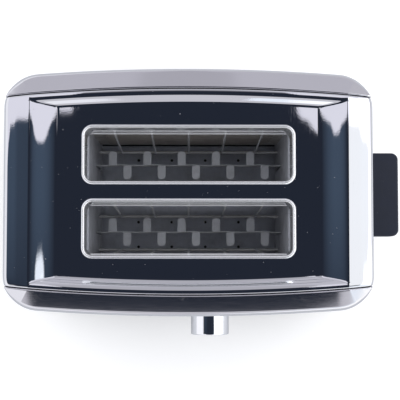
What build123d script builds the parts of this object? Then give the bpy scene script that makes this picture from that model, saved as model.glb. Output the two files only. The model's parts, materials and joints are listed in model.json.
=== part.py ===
from build123d import *
import os
from math import atan2, cos, degrees, radians, sin, sqrt, tan

# A two-slot pop-up toaster in polished steel. Millimetres, +Z up, +X towards the
# lever, -Y towards the browning knob. The origin is on the table, at the middle of the
# whole object's length and depth, so the body's own centre is a little to its left
# and behind it. The pieces are modelled about the body's centre and moved on export.

# Body
body_length = 270.0
body_depth = 182.0
body_top = 190.0
foot_height = 8.0
base_height = 22.0
bow_radius = 1480.0
corner_radius = 26.0
sheet = 1.2

# Front and back panels: a sloped shoulder that rounds over into the wall
shoulder_width = 16.0
seam_gap = 0.4
shoulder_run = 12.0
shoulder_drop = 5.0
shoulder_round = 5.5
fold_depth = 12.0

# Top cover: rim, sunken deck, ramps and end bands
rim_width = 4.1
deck_sink = 5.2
deck_margin = 5.7
band_width = 19.0
ramp_run = 20.0
ramp_steps = ((0.29, 0.28), (0.63, 0.76))
band_slope = 7.0
band_round = 4.5

# Bread slots and their trim rings
slot_length = 152.5
slot_width = 38.7
slot_spacing = 54.2
slot_corner = 5.5
ring_wall = 1.2
ring_lip = 2.6
ring_proud = 1.5
ring_depth = 23.8
ring_clearance = 0.2

# Base tub, crumb tray rails and feet
base_wall = 2.5
base_floor = 3.0
base_inset = 0.6
rail_wall = 3.0
rail_end_gap = 7.0
rail_stop = 4.0
ledge_width = 4.0
ledge_thickness = 1.6
vent_length = 30.0
vent_width = 4.0
vent_pitch = 12.0
vents_per_row = 11
foot_radius = 9.0
foot_inset_x = 27.0
foot_inset_y = 25.0
foot_chamfer = 1.0

# Chassis
end_cover = 1.25
plate = 1.0
plate_margin = 2.0
chassis_ring_gap = 1.0
flange_reach = 21.0
boss_reach = 15.0
boss_inset = 4.0
boss_radius = 4.5
boss_overlap = 0.5
screw_radius = 1.6
screw_head_radius = 3.5
screw_head = 2.0
screw_clearance = 0.2
screw_rise = 4.0
shield_inset = 31.0
shield_sheet = 0.8
shield_bottom = 34.0

# Heating elements
board_gap = 2.85
board_sheet = 0.8
board_bottom = 48.0
board_top_gap = 2.0
ribbon_width = 2.4
ribbon_sheet = 0.4
ribbon_pitch = 9.0
ribbon_rows = 11
ribbon_margin = 8.0

# Bread racks and carriage
rack_top = 95.0
rack_height = 8.0
rack_sheet = 1.0
rack_overhang = 3.0
tab_width = 6.5
tab_reach = 11.5
tab_sheet = 1.0
tabs_per_side = 5
wire_pitch = 27.9
tab_offset = 5.7
tab_stagger = 11.7
slot_play = 0.6
carriage_travel = 46.0
carriage_gap = 2.0
carriage_sheet = 1.0
carriage_margin = 7.0
carriage_plate_height = 28.0
carriage_plate_drop = 5.0
bushing_length = 16.0
bushing_width = 18.0
bushing_height = 52.0
bushing_chamfer = 1.5
bushing_above_arm = 1.0
rod_radius = 3.0
rod_clearance = 0.05
rod_rise = 3.0
spring_wire = 1.0
spring_radius = 4.6
spring_turns = 11
spring_seat = 0.6
armature_sheet = 2.5
armature_length = 18.0
striker_height = 6.0

# Lever
lever_out = 25.0
lever_gap = 3.0
lever_width = 63.6
lever_height = 18.0
lever_top = 150.0
lever_corner = 4.0
lever_edge = 1.3
lever_arm_sheet = 3.0
lever_arm_height = 10.0
lever_arm_tongue = 12.0
lever_slot_width = 5.0
lever_slot_play = 2.0

# Bread guards
guard_pivot_gap = 2.5
guard_slot_gap = 0.55
guard_ring_gap = 3.0
guard_height = 98.0
guard_wire_radius = 0.9
guard_rod_radius = 1.25
guard_wires = 5
guard_end_gap = 1.0
pivot_clearance = 0.08
pivot_rod_end = 1.4

# Latch magnet and mains switch
latch_gap = 0.4
magnet_set = 2.0
magnet_length = 18.0
magnet_width = 18.0
magnet_y = -22.0
pole_width = 4.0
side_pole_width = 2.4
coil_drop = 1.0
yoke_sheet = 3.0
coil_gap = 0.3
switch_length = 16.0
switch_width = 18.0
switch_y = 22.0
contact_sheet = 0.6
contact_rise = 2.0
striker_length = 12.0
striker_half_width = 6.0

# Browning control
knob_radius = 15.35
knob_out = 19.1
knob_gap = 0.7
knob_x = 17.4
control_z = 84.0
knob_edge = 1.0
shaft_radius = 3.0
shaft_inset = 4.0
pot_radius = 8.0
pot_depth = 8.4
neck_radius = 4.6
neck_length = 7.0
neck_clearance = 0.4

# Buttons and control board
button_x = -17.4
button_pitch = 20.0
button_radius = 6.0
button_proud = 2.5
button_travel = 2.0
button_clearance = 0.35
button_flange = 1.2
stem_radius = 2.5
bracket_inset = 5.4
bracket_sheet = 2.0
board_inset = 19.8
control_board_sheet = 1.6
control_half_length = 36.0
control_half_height = 34.0
post_radius = 3.0
post_inset = 5.0
tact_depth = 5.8
tact_body_depth = 4.35
tact_size = 6.0

# Crumb tray
tray_bottom = 19.0
tray_sheet = 0.8
tray_wall_height = 6.0
tray_side_gap = 1.0
tray_overreach = 5.0
tray_ledge_gap = 0.2
emboss_length = 147.0
emboss_depth = 56.0
emboss_corner = 9.0
emboss_rise = 1.0
hole_radius = 1.2
hole_columns = (14.7, 43.8)
hole_rows = (16.4, 38.0)
pull_half_width = 40.0
pull_grip_half = 28.0
pull_height = 13.0
pull_thickness = 6.0
pull_recess = 3.0
mouth_clearance = 1.0

# Mains inlet
inlet_x = -84.0
inlet_outer = 6.0
inlet_bore = 3.6
inlet_length = 10.0
inlet_flange = 1.0
terminal_length = 20.0
terminal_depth = 12.0
terminal_height = 12.0
terminal_hole_depth = 3.0

# Worked-out sizes
half_length = body_length / 2
half_depth = body_depth / 2
base_top = foot_height + base_height
floor_top = foot_height + base_floor
deck_z = body_top - deck_sink
seam_half_depth = half_depth - shoulder_width
rim_half_depth = seam_half_depth - rim_width
deck_half_depth = rim_half_depth - deck_margin
crease_reach = half_length - band_width
deck_half_length = crease_reach - ramp_run
slot_y = slot_spacing / 2
ring_bottom = deck_z - ring_depth
chassis_top = ring_bottom - chassis_ring_gap
chassis_inner = slot_length / 2 - end_cover
shield_y = half_depth - shield_inset
plate_half_depth = shield_y + plate_margin
boss_x = chassis_inner + boss_reach
boss_y = plate_half_depth - boss_inset
rail_inner = boss_y - boss_radius + boss_overlap - rail_wall
rail_left = half_length - rail_end_gap
tray_half_depth = rail_inner - tray_side_gap
tray_right = chassis_inner + tray_overreach
rail_right = tray_right + rail_stop
foot_x = half_length - foot_inset_x
foot_y = half_depth - foot_inset_y
board_y = slot_y + slot_width / 2 + board_gap
bracket_y = half_depth - bracket_inset
board_front_y = half_depth - board_inset
carriage_x = chassis_inner + plate + carriage_gap
carriage_half_depth = slot_y + carriage_margin
bushing_x = carriage_x + carriage_sheet
magnet_x = bushing_x + magnet_set
rod_x = bushing_x + bushing_length / 2
rack_left_end = chassis_inner + plate + rack_overhang
rack_bottom = rack_top - rack_height
carriage_bottom = rack_bottom - carriage_plate_drop
lever_z = lever_top - lever_height / 2
bushing_top = lever_z + lever_arm_height / 2 + bushing_above_arm
bushing_bottom = bushing_top - bushing_height
guard_pivot_z = ring_bottom - guard_ring_gap - guard_height
guard_pivot_offset = tab_reach + guard_pivot_gap
guard_top_offset = slot_width / 2 - guard_slot_gap
guard_lean = degrees(atan2(guard_top_offset - guard_pivot_offset, guard_height))


# Small helpers

def block(x0, x1, y0, y1, z0, z1):
    """A block between two opposite corners."""
    return Pos((x0 + x1) / 2, (y0 + y1) / 2, (z0 + z1) / 2) * Box(x1 - x0, y1 - y0, z1 - z0)


def upright(x, y, z0, z1, radius):
    """A round bar along Z."""
    return Pos(x, y, (z0 + z1) / 2) * Cylinder(radius, z1 - z0)


def bar_x(x0, x1, y, z, radius):
    """A round bar along X."""
    return Pos((x0 + x1) / 2, y, z) * Rot(0, 90, 0) * Cylinder(radius, x1 - x0)


def bar_y(x, y0, y1, z, radius):
    """A round bar along Y."""
    return Pos(x, (y0 + y1) / 2, z) * Rot(90, 0, 0) * Cylinder(radius, y1 - y0)


def bow(depth, x):
    """Where a bowed edge stands at x: all of them share one far centre."""
    radius = bow_radius - half_depth + depth
    return depth - radius + sqrt(radius ** 2 - x ** 2)


def bowed_plan(length, depth, corner=0.0):
    """Plan outline with straight ends and bowed front and back."""
    end = bow(depth, length)
    front = ThreePointArc((-length, -end), (0, -depth), (length, -end))
    right = Line((length, -end), (length, end))
    back = ThreePointArc((length, end), (0, depth), (-length, end))
    left = Line((-length, end), (-length, -end))
    face = make_face([front, right, back, left])
    if corner > 0:
        face = fillet(face.vertices(), corner)
    return face


def bowed_block(length, depth, z0, z1, corner=0.0):
    """A bowed plan raised from z0 to z1."""
    return Pos(0, 0, z0) * extrude(bowed_plan(length, depth, corner), amount=z1 - z0)


def crown_cut(reach, crease, slope, rounding, inset):
    """What a crowned section leaves off: the area above its slope and outside its round."""
    wall = reach - inset
    radius = rounding - inset
    top = body_top - inset
    fold = crease - inset * tan(radians(slope / 2))
    corner_z = top - tan(radians(slope)) * (wall - fold)
    turn = radians(90 - slope) / 2
    step = radius * tan(turn)
    low = (wall, corner_z - step)
    high = (wall - step * cos(radians(slope)), corner_z + step * sin(radians(slope)))
    middle = (wall - radius + radius * cos(turn), low[1] + radius * sin(turn))
    outer = reach + rounding
    over = body_top + rounding
    edge = Polyline(high, (fold, top), (fold, over), (outer, over), (outer, low[1]), low)
    return make_face([edge, ThreePointArc(low, middle, high)])


def envelope(inset, bottom):
    """The body's outer form, drawn in by an inset on every side but the bottom."""
    form = bowed_block(half_length - inset, half_depth - inset, bottom, body_top - inset, corner_radius - inset)
    shoulder_slope = degrees(atan2(shoulder_drop, shoulder_run))
    across = crown_cut(half_depth, seam_half_depth, shoulder_slope, shoulder_round, inset)
    sweep = degrees(atan2(body_length, bow_radius))
    centre = Axis((0, half_depth - bow_radius, 0), (0, 0, 1))
    section = (Plane.YZ * across).rotate(centre, -sweep)
    back = revolve(section, centre, revolution_arc=2 * sweep)
    along = crown_cut(half_length, crease_reach, band_slope, band_round, inset)
    right = extrude(Plane.XZ * along, amount=body_depth, both=True)
    return form - back - mirror(back, Plane.XZ) - right - mirror(right, Plane.YZ)


def deck_pocket(grow=0.0):
    """The sunken deck with its walls and end ramps, or the same form one sheet larger."""
    levels = [(0.0, 0.0)] + list(ramp_steps) + [(1.0, 1.0)]
    faces = []
    for run, rise in levels:
        plan = bowed_plan(
            deck_half_length + run * ramp_run + grow,
            deck_half_depth + rise * deck_margin + grow,
        )
        faces.append(Pos(0, 0, deck_z + rise * deck_sink - grow) * plan)
    pocket = loft(faces, ruled=True)
    mouth = bowed_block(crease_reach + grow, rim_half_depth + grow, body_top - grow, body_top + sheet)
    return pocket + mouth


def slot_places():
    """The two bread slots, back then front."""
    return (("back", slot_y), ("front", -slot_y))


def slot_block(y, grow, z0, z1):
    """The bread slot's rounded opening, grown on every side."""
    plan = RectangleRounded(slot_length + 2 * grow, slot_width + 2 * grow, slot_corner + grow)
    return Pos(0, y, z0) * extrude(plan, amount=z1 - z0)


# Outer shells

def make_top_cover():
    """One pressed sheet: the rim, the sunken deck and both end walls."""
    band = bowed_block(half_length, seam_half_depth, base_top, body_top)
    cover = envelope(0, base_top) & band
    inside = envelope(sheet, base_top - sheet) - deck_pocket(sheet)
    fold = band - bowed_block(half_length + sheet, seam_half_depth - sheet, base_top, body_top)
    fold = fold & block(-crease_reach, crease_reach, -half_depth, half_depth, body_top - fold_depth, body_top)
    cover = cover - deck_pocket() - (inside - fold)
    for _, y in slot_places():
        cover = cover - slot_block(y, ring_wall + ring_clearance, deck_z - 2 * sheet, body_top)
    low = lever_z - carriage_travel - lever_arm_height / 2 - lever_slot_play
    high = lever_z + lever_arm_height / 2 + lever_slot_play
    half = lever_slot_width / 2
    return cover - block(half_length - 3 * sheet, half_length + sheet, -half, half, low, high)


def make_plain_panel():
    """The front wall panel: it wraps round both corners and folds down at the seam."""
    inner = seam_half_depth + seam_gap
    fold = bowed_block(crease_reach, inner + sheet, body_top - fold_depth, body_top + sheet)
    inside = envelope(sheet, base_top - sheet) - fold
    seam = bowed_block(half_length + sheet, inner, base_top - sheet, body_top + sheet)
    shell = envelope(0, base_top) - inside - seam
    return shell & block(-body_length, body_length, -body_depth, 0, 0, 2 * body_top)


def make_front_panel():
    """The front wall, with the holes for the browning shaft and the three buttons."""
    panel = make_plain_panel()
    hole = neck_radius + neck_clearance
    panel = panel - bar_y(knob_x, -half_depth - 1, -half_depth + 3 * sheet, control_z, hole)
    for z in button_heights():
        hole = button_radius + button_clearance
        panel = panel - bar_y(button_x, -half_depth - 1, -half_depth + 3 * sheet, z, hole)
    return panel


def make_back_panel():
    """The back wall: the plain panel's mirror image."""
    return mirror(make_plain_panel(), Plane.XZ)


def make_slot_ring(y):
    """A trim ring: a lip on the deck and a sleeve that reaches down to the chassis."""
    sleeve = slot_block(y, ring_wall, ring_bottom, deck_z + ring_proud / 2)
    lip = slot_block(y, ring_lip, deck_z, deck_z + ring_proud)
    lip = fillet(lip.edges().group_by(Axis.Z)[-1], ring_proud / 2)
    return sleeve + lip - slot_block(y, 0, ring_bottom - 1, body_top)


def make_base():
    """The moulded tub that carries everything, with vents, rails and bosses."""
    length = half_length - base_inset
    depth = half_depth - base_inset
    corner = corner_radius - base_inset
    tub = bowed_block(length, depth, foot_height, base_top, corner)
    tub = tub - bowed_block(length - base_wall, depth - base_wall, floor_top, base_top + 1, corner - base_wall)
    for side in (-1, 1):
        near, far = sorted((side * rail_inner, side * (rail_inner + rail_wall)))
        tub = tub + block(-rail_left, rail_right, near, far, foot_height, base_top)
        near, far = sorted((side * rail_inner, side * (rail_inner - ledge_width)))
        ledge_top = tray_bottom - tray_ledge_gap
        tub = tub + block(-rail_left, rail_right, near, far, ledge_top - ledge_thickness, ledge_top)
        for x in (-boss_x, boss_x):
            tub = tub + upright(x, side * boss_y, foot_height, base_top, boss_radius)
    for side in (-1, 1):
        for x in (-boss_x, boss_x):
            tub = tub - upright(x, side * boss_y, 0, base_top + 1, screw_radius + screw_clearance)
            head = screw_head_radius + screw_clearance
            tub = tub - upright(x, side * boss_y, 0, foot_height + screw_head + screw_clearance, head)
        for index in range(vents_per_row):
            x = (index - (vents_per_row - 1) / 2) * vent_pitch
            y = side * (vent_length / 2 + vent_width)
            tub = tub - block(x - vent_width / 2, x + vent_width / 2, y - vent_length / 2,
                              y + vent_length / 2, foot_height - 1, floor_top + 1)
    mouth = tray_half_depth + mouth_clearance
    pull_bottom = tray_bottom + tray_wall_height - pull_height
    tub = tub - block(-half_length, -length + 2 * base_wall, -mouth, mouth,
                      pull_bottom - tray_ledge_gap, tray_bottom + tray_wall_height + mouth_clearance)
    wall_y = bow(depth, inlet_x)
    return tub - bar_y(inlet_x, wall_y - 2 * base_wall, wall_y + base_wall, inlet_z(), inlet_outer)


def make_feet():
    """Four rubber feet under the tub's corners."""
    feet = []
    for x in (-foot_x, foot_x):
        for y in (-foot_y, foot_y):
            foot = upright(x, y, 0, foot_height, foot_radius)
            foot = chamfer(foot.edges().group_by(Axis.Z)[0], foot_chamfer)
            feet.append(foot)
    return Compound(children=feet)


# Chassis, shields and heating elements

def make_chassis(side):
    """An end plate that carries the boards, shields, guards and rack slots."""
    near, far = sorted((side * chassis_inner, side * (chassis_inner + plate)))
    wall = block(near, far, -plate_half_depth, plate_half_depth, base_top, chassis_top)
    low, high = sorted((side * chassis_inner, side * (chassis_inner + flange_reach)))
    wall = wall + block(low, high, -plate_half_depth, plate_half_depth, base_top, base_top + plate)
    for end in (-1, 1):
        wall = wall - upright(side * boss_x, end * boss_y, base_top - 1, base_top + 2 * plate, screw_radius)
    half = rack_sheet / 2 + slot_play
    for _, y in slot_places():
        wall = wall - block(near - 1, far + 1, y - half, y + half,
                            rack_bottom - carriage_travel - slot_play, rack_top + slot_play)
        for offset_y in (-guard_pivot_offset, guard_pivot_offset):
            hole = guard_rod_radius + pivot_clearance
            wall = wall - bar_x(near - 1, far + 1, y + offset_y, guard_pivot_z, hole)
    if side > 0:
        tab = block(chassis_inner, rod_x + bushing_length / 2, -bushing_width / 2, bushing_width / 2,
                    chassis_top - plate, chassis_top)
        wall = wall + tab - upright(rod_x, 0, base_top - 1, chassis_top + 1, rod_radius)
    return wall


def make_shield(side):
    """A thin steel sheet between the outer elements and a wall panel."""
    y = side * shield_y
    half = shield_sheet / 2
    return block(-chassis_inner, chassis_inner, y - half, y + half, shield_bottom, chassis_top - board_top_gap)


def make_board(y):
    """A mica board that holds one element's ribbon."""
    half = board_sheet / 2
    return block(-chassis_inner, chassis_inner, y - half, y + half, board_bottom, chassis_top - board_top_gap)


def make_ribbon(y, side):
    """One unbroken flat ribbon laid in rows across the board's bread side."""
    near, far = sorted((y + side * board_sheet / 2, y + side * (board_sheet / 2 + ribbon_sheet)))
    end = chassis_inner - ribbon_margin
    ribbon = None
    for row in range(ribbon_rows):
        z = board_bottom + ribbon_margin + row * ribbon_pitch
        strip = block(-end, end, near, far, z, z + ribbon_width)
        ribbon = strip if ribbon is None else ribbon + strip
        if row < ribbon_rows - 1:
            turn = end if row % 2 == 0 else -end
            low, high = sorted((turn, turn - ribbon_width * (1 if turn > 0 else -1)))
            ribbon = ribbon + block(low, high, near, far, z, z + ribbon_pitch)
    return ribbon


def make_guide_rod():
    """The steel rod that the carriage runs on."""
    return upright(rod_x, 0, base_top, chassis_top + rod_rise, rod_radius)


def make_bumper():
    """A rubber ring that stops the carriage at the top."""
    low = bushing_top + screw_clearance
    ring = upright(rod_x, 0, low, low + rod_radius, 2 * rod_radius)
    return ring - upright(rod_x, 0, low - 1, low + 2 * rod_radius, rod_radius)


def make_return_spring():
    """The coil spring round the rod that lifts the carriage."""
    low = base_top + plate + spring_seat
    high = bushing_bottom - spring_seat
    path = Helix(pitch=(high - low) / spring_turns, height=high - low, radius=spring_radius)
    start = Plane(origin=path @ 0, z_dir=path % 0)
    coil = sweep(start * Circle(spring_wire / 2), path=path, is_frenet=True)
    return Pos(rod_x, 0, low) * coil


# Latch magnet and mains switch

def magnet_top():
    """The poles' height: just under the armature when the carriage is down."""
    return rack_bottom - carriage_travel - latch_gap


def make_magnet_core():
    """The E-shaped iron core."""
    low = base_top + plate
    x0 = magnet_x + yoke_sheet
    x1 = magnet_x + magnet_length - yoke_sheet
    near = magnet_y - magnet_width / 2
    far = magnet_y + magnet_width / 2
    core = block(x0, x1, near, far, low, low + yoke_sheet)
    core = core + block(x0, x1, near, near + side_pole_width, low, magnet_top())
    core = core + block(x0, x1, far - side_pole_width, far, low, magnet_top())
    middle = pole_width / 2
    return core + block(x0, x1, magnet_y - middle, magnet_y + middle, low, magnet_top())


def make_magnet_coil():
    """The coil on its bobbin round the middle pole."""
    low = base_top + plate + yoke_sheet
    high = magnet_top() - coil_drop
    half = magnet_width / 2 - side_pole_width - coil_gap
    inner = pole_width / 2
    x0 = magnet_x + yoke_sheet
    x1 = magnet_x + magnet_length - yoke_sheet
    coil = block(magnet_x, magnet_x + magnet_length, magnet_y - half, magnet_y + half, low, high)
    return coil - block(x0, x1, magnet_y - inner, magnet_y + inner, low - 1, high + 1)


def make_mains_switch():
    """The switch housing that the lowered carriage closes."""
    low = base_top + plate
    return block(magnet_x, magnet_x + switch_length, switch_y - switch_width / 2,
                 switch_y + switch_width / 2, low, magnet_top() - contact_rise)


def make_switch_contacts():
    """Two leaf contacts and the plunger between them."""
    low = magnet_top() - contact_rise
    parts = []
    for y in (switch_y - striker_half_width, switch_y + striker_half_width):
        parts.append(block(magnet_x + 1, magnet_x + switch_length - 1, y - pole_width / 2,
                           y + pole_width / 2, low, low + contact_sheet))
    parts.append(upright(magnet_x + switch_length / 2, switch_y, low, magnet_top(), pole_width / 2))
    return Compound(parts)


# Carriage

def make_rack(y):
    """A bread rack: an upright strip with tabs bent out to either side in turn."""
    half = rack_sheet / 2
    rack = block(-rack_left_end, carriage_x, y - half, y + half, rack_bottom, rack_top)
    for side, start in ((1, -tab_offset), (-1, tab_stagger - tab_offset)):
        for index in range(tabs_per_side):
            x = start + (index - (tabs_per_side - 1) / 2) * wire_pitch
            tip = y + side * (tab_reach - tab_width / 2)
            near, far = sorted((y, tip))
            rack = rack + block(x - tab_width / 2, x + tab_width / 2, near, far, rack_top - tab_sheet, rack_top)
            rack = rack + upright(x, tip, rack_top - tab_sheet, rack_top, tab_width / 2)
    return rack


def make_carriage_plate():
    """The sheet that joins both racks to the bushing."""
    return block(carriage_x, bushing_x, -carriage_half_depth, carriage_half_depth,
                 carriage_bottom, carriage_bottom + carriage_plate_height)


def make_bushing():
    """The plastic bushing that slides on the guide rod."""
    half = bushing_width / 2
    body = block(bushing_x, bushing_x + bushing_length, -half, half, bushing_bottom, bushing_top)
    body = chamfer(body.edges().filter_by(Axis.Z), bushing_chamfer)
    return body - upright(rod_x, 0, bushing_bottom - 1, bushing_top + 1, rod_radius + rod_clearance)


def make_lever_arm():
    """The flat arm from the bushing out through the slot in the end wall."""
    half = lever_arm_sheet / 2
    end = half_length + lever_gap + lever_arm_tongue
    return block(bushing_x + bushing_length, end, -half, half,
                 lever_z - lever_arm_height / 2, lever_z + lever_arm_height / 2)


def make_lever_grip():
    """The wide black finger grip."""
    x0 = half_length + lever_gap
    x1 = half_length + lever_out
    grip = block(x0, x1, -lever_width / 2, lever_width / 2, lever_top - lever_height, lever_top)
    corners = grip.edges().filter_by(Axis.Z).group_by(Axis.X)[-1]
    grip = fillet(corners, lever_corner)
    rim = grip.faces().sort_by(Axis.Z)[-1].edges()
    grip = fillet(rim, lever_edge)
    return grip - make_lever_arm()


def make_armature():
    """The steel plate that the latch magnet holds."""
    near = magnet_y - magnet_width / 2
    return block(bushing_x, bushing_x + armature_length, near, near + magnet_width,
                 rack_bottom, rack_bottom + armature_sheet)


def make_striker():
    """The plastic foot that closes the mains switch."""
    return block(bushing_x, bushing_x + striker_length, switch_y - striker_half_width,
                 switch_y + striker_half_width, rack_bottom, rack_bottom + striker_height)


def make_guard(y, side):
    """A wire cage hinged at its foot: it leans out at rest and closes on the bread."""
    reach = chassis_inner + plate + pivot_rod_end
    top = chassis_inner - guard_end_gap
    cage = bar_x(-reach, reach, 0, 0, guard_rod_radius)
    cage = cage + bar_x(-top, top, 0, guard_height, guard_rod_radius)
    for index in range(guard_wires):
        x = (index - (guard_wires - 1) / 2) * wire_pitch
        cage = cage + upright(x, 0, 0, guard_height, guard_wire_radius)
    return Pos(0, y + side * guard_pivot_offset, guard_pivot_z) * Rot(-side * guard_lean, 0, 0) * cage


# Browning control, buttons and control board

def button_heights():
    """The three buttons, top to bottom."""
    return (control_z + button_pitch, control_z, control_z - button_pitch)


def make_knob():
    """The chromed browning knob with its bore for the shaft."""
    face = half_depth + knob_out
    knob = bar_y(knob_x, -face, -half_depth - knob_gap, control_z, knob_radius)
    knob = fillet(knob.edges().group_by(Axis.Y)[0], knob_edge)
    return knob - bar_y(knob_x, -face + shaft_inset, -half_depth, control_z, shaft_radius)


def make_knob_shaft():
    """The shaft from the potentiometer into the knob."""
    back = board_front_y + pot_depth / 2
    return bar_y(knob_x, -(half_depth + knob_out - shaft_inset), -back, control_z, shaft_radius)


def make_potentiometer():
    """The rotary control's body and threaded neck."""
    front = board_front_y + pot_depth
    body = bar_y(knob_x, -front, -board_front_y, control_z, pot_radius)
    body = body + bar_y(knob_x, -front - neck_length, -front, control_z, neck_radius)
    bore_end = board_front_y + pot_depth / 2 - rod_clearance
    return body - bar_y(knob_x, -half_depth, -bore_end, control_z, shaft_radius + rod_clearance)


def make_button(z):
    """A push button: a cap, a retaining flange and a stem."""
    front = half_depth + button_proud
    flange_back = bracket_y + button_travel + screw_clearance
    stem_end = board_front_y + tact_depth + button_travel + screw_clearance
    cap = bar_y(button_x, -front, -flange_back, z, button_radius)
    cap = fillet(cap.edges().group_by(Axis.Y)[0], knob_edge)
    cap = cap + bar_y(button_x, -flange_back - button_flange, -flange_back, z, button_radius + 1)
    return cap + bar_y(button_x, -flange_back, -stem_end, z, stem_radius)


def make_tact_switches():
    """Three small switches on the board, one behind each button."""
    half = tact_size / 2
    switches = []
    for z in button_heights():
        body = block(button_x - half, button_x + half, -board_front_y - tact_body_depth,
                     -board_front_y, z - half, z + half)
        body = body + bar_y(button_x, -board_front_y - tact_depth, -board_front_y, z, half / 2)
        switches.append(body)
    return Compound(switches)


def post_places():
    """The board's four fixing posts."""
    x = control_half_length - post_inset
    z = control_half_height - post_inset
    return [(sx * x, control_z + sz * z) for sx in (-1, 1) for sz in (-1, 1)]


def make_control_board():
    """The printed board that times the toast."""
    back = board_front_y - control_board_sheet
    return block(-control_half_length, control_half_length, -board_front_y, -back,
                 control_z - control_half_height, control_z + control_half_height)


def make_board_posts():
    """Four posts that stand the board off the front heat shield."""
    back = board_front_y - control_board_sheet
    posts = [bar_y(x, -back, -shield_y - shield_sheet / 2, z, post_radius) for x, z in post_places()]
    return Compound(posts)


def make_control_bracket():
    """The plastic plate in front of the board that guides the buttons and the neck."""
    front = bracket_y
    back = bracket_y - bracket_sheet
    plate_block = block(-control_half_length, control_half_length, -front, -back,
                        control_z - control_half_height, control_z + control_half_height)
    for x, z in post_places():
        plate_block = plate_block + bar_y(x, -back, -board_front_y, z, post_radius)
    neck = neck_radius + neck_clearance
    plate_block = plate_block - bar_y(knob_x, -front - 1, -back + 1, control_z, neck)
    for z in button_heights():
        stem = stem_radius + button_clearance
        plate_block = plate_block - bar_y(button_x, -front - 1, -back + 1, z, stem)
    return plate_block


# Crumb tray, inlet and fasteners

def tray_left():
    """Where the tray's pan ends and its pull begins."""
    return -(half_length - base_inset) + pull_thickness


def make_crumb_tray():
    """The pressed tray: turned-up sides, a raised middle and sixteen small holes."""
    top = tray_bottom + tray_wall_height
    pan = block(tray_left(), tray_right, -tray_half_depth, tray_half_depth, tray_bottom, top)
    pan = pan - block(tray_left() + tray_sheet, tray_right - tray_sheet, -tray_half_depth + tray_sheet,
                      tray_half_depth - tray_sheet, tray_bottom + tray_sheet, top + 1)
    raised = RectangleRounded(emboss_length, emboss_depth, emboss_corner)
    pan = pan + Pos(0, 0, tray_bottom) * extrude(raised, amount=tray_sheet + emboss_rise)
    hollow = RectangleRounded(emboss_length - 2 * tray_sheet, emboss_depth - 2 * tray_sheet,
                              emboss_corner - tray_sheet)
    pan = pan - Pos(0, 0, tray_bottom - 1) * extrude(hollow, amount=1 + emboss_rise)
    for column in hole_columns:
        for row in hole_rows:
            for x in (-column, column):
                for y in (-row, row):
                    pan = pan - upright(x, y, tray_bottom - 1, top, hole_radius)
    return pan


def make_tray_pull():
    """The black finger pull at the tray's end, flush with the base."""
    top = tray_bottom + tray_wall_height
    face = -(half_length - base_inset)
    pull = block(face, tray_left(), -pull_half_width, pull_half_width, top - pull_height, top)
    return pull - block(face - 1, face + pull_recess, -pull_grip_half, pull_grip_half,
                        top - pull_height - 1, top - pull_height / 2)


def inlet_z():
    """The mains inlet's height in the tub's back wall."""
    return foot_height + base_height / 2


def make_cord_inlet():
    """The bushing in the back wall of the base where the mains lead goes in."""
    wall_y = bow(half_depth - base_inset, inlet_x)
    body = bar_y(inlet_x, wall_y - inlet_length, wall_y + inlet_flange, inlet_z(), inlet_outer)
    lip = inlet_outer + inlet_flange
    body = body + bar_y(inlet_x, wall_y + inlet_flange / 2, wall_y + 1.5 * inlet_flange, inlet_z(), lip)
    return body - bar_y(inlet_x, wall_y - 2 * inlet_length, wall_y + 2 * inlet_length, inlet_z(), inlet_bore)


def make_terminal_block():
    """The block inside the inlet where the mains lead's wires are clamped."""
    far = bow(half_depth - base_inset, inlet_x) - inlet_length - inlet_flange
    x0 = inlet_x - terminal_length / 2
    body = block(x0, x0 + terminal_length, far - terminal_depth, far, floor_top, floor_top + terminal_height)
    for offset_x in (-terminal_length / 4, terminal_length / 4):
        top = floor_top + terminal_height
        body = body - upright(inlet_x + offset_x, far - terminal_depth / 2, top - terminal_hole_depth,
                              top + 1, screw_radius)
    return body


def make_base_screws():
    """Four screws that hold the chassis flanges to the base."""
    screws = []
    for x in (-boss_x, boss_x):
        for y in (-boss_y, boss_y):
            seat = foot_height + screw_head + screw_clearance
            screw = upright(x, y, seat - screw_head, seat, screw_head_radius)
            screw = screw + upright(x, y, seat, base_top + plate + screw_rise, screw_radius)
            screws.append(screw)
    return Compound(screws)


# Every node and its shape

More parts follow.
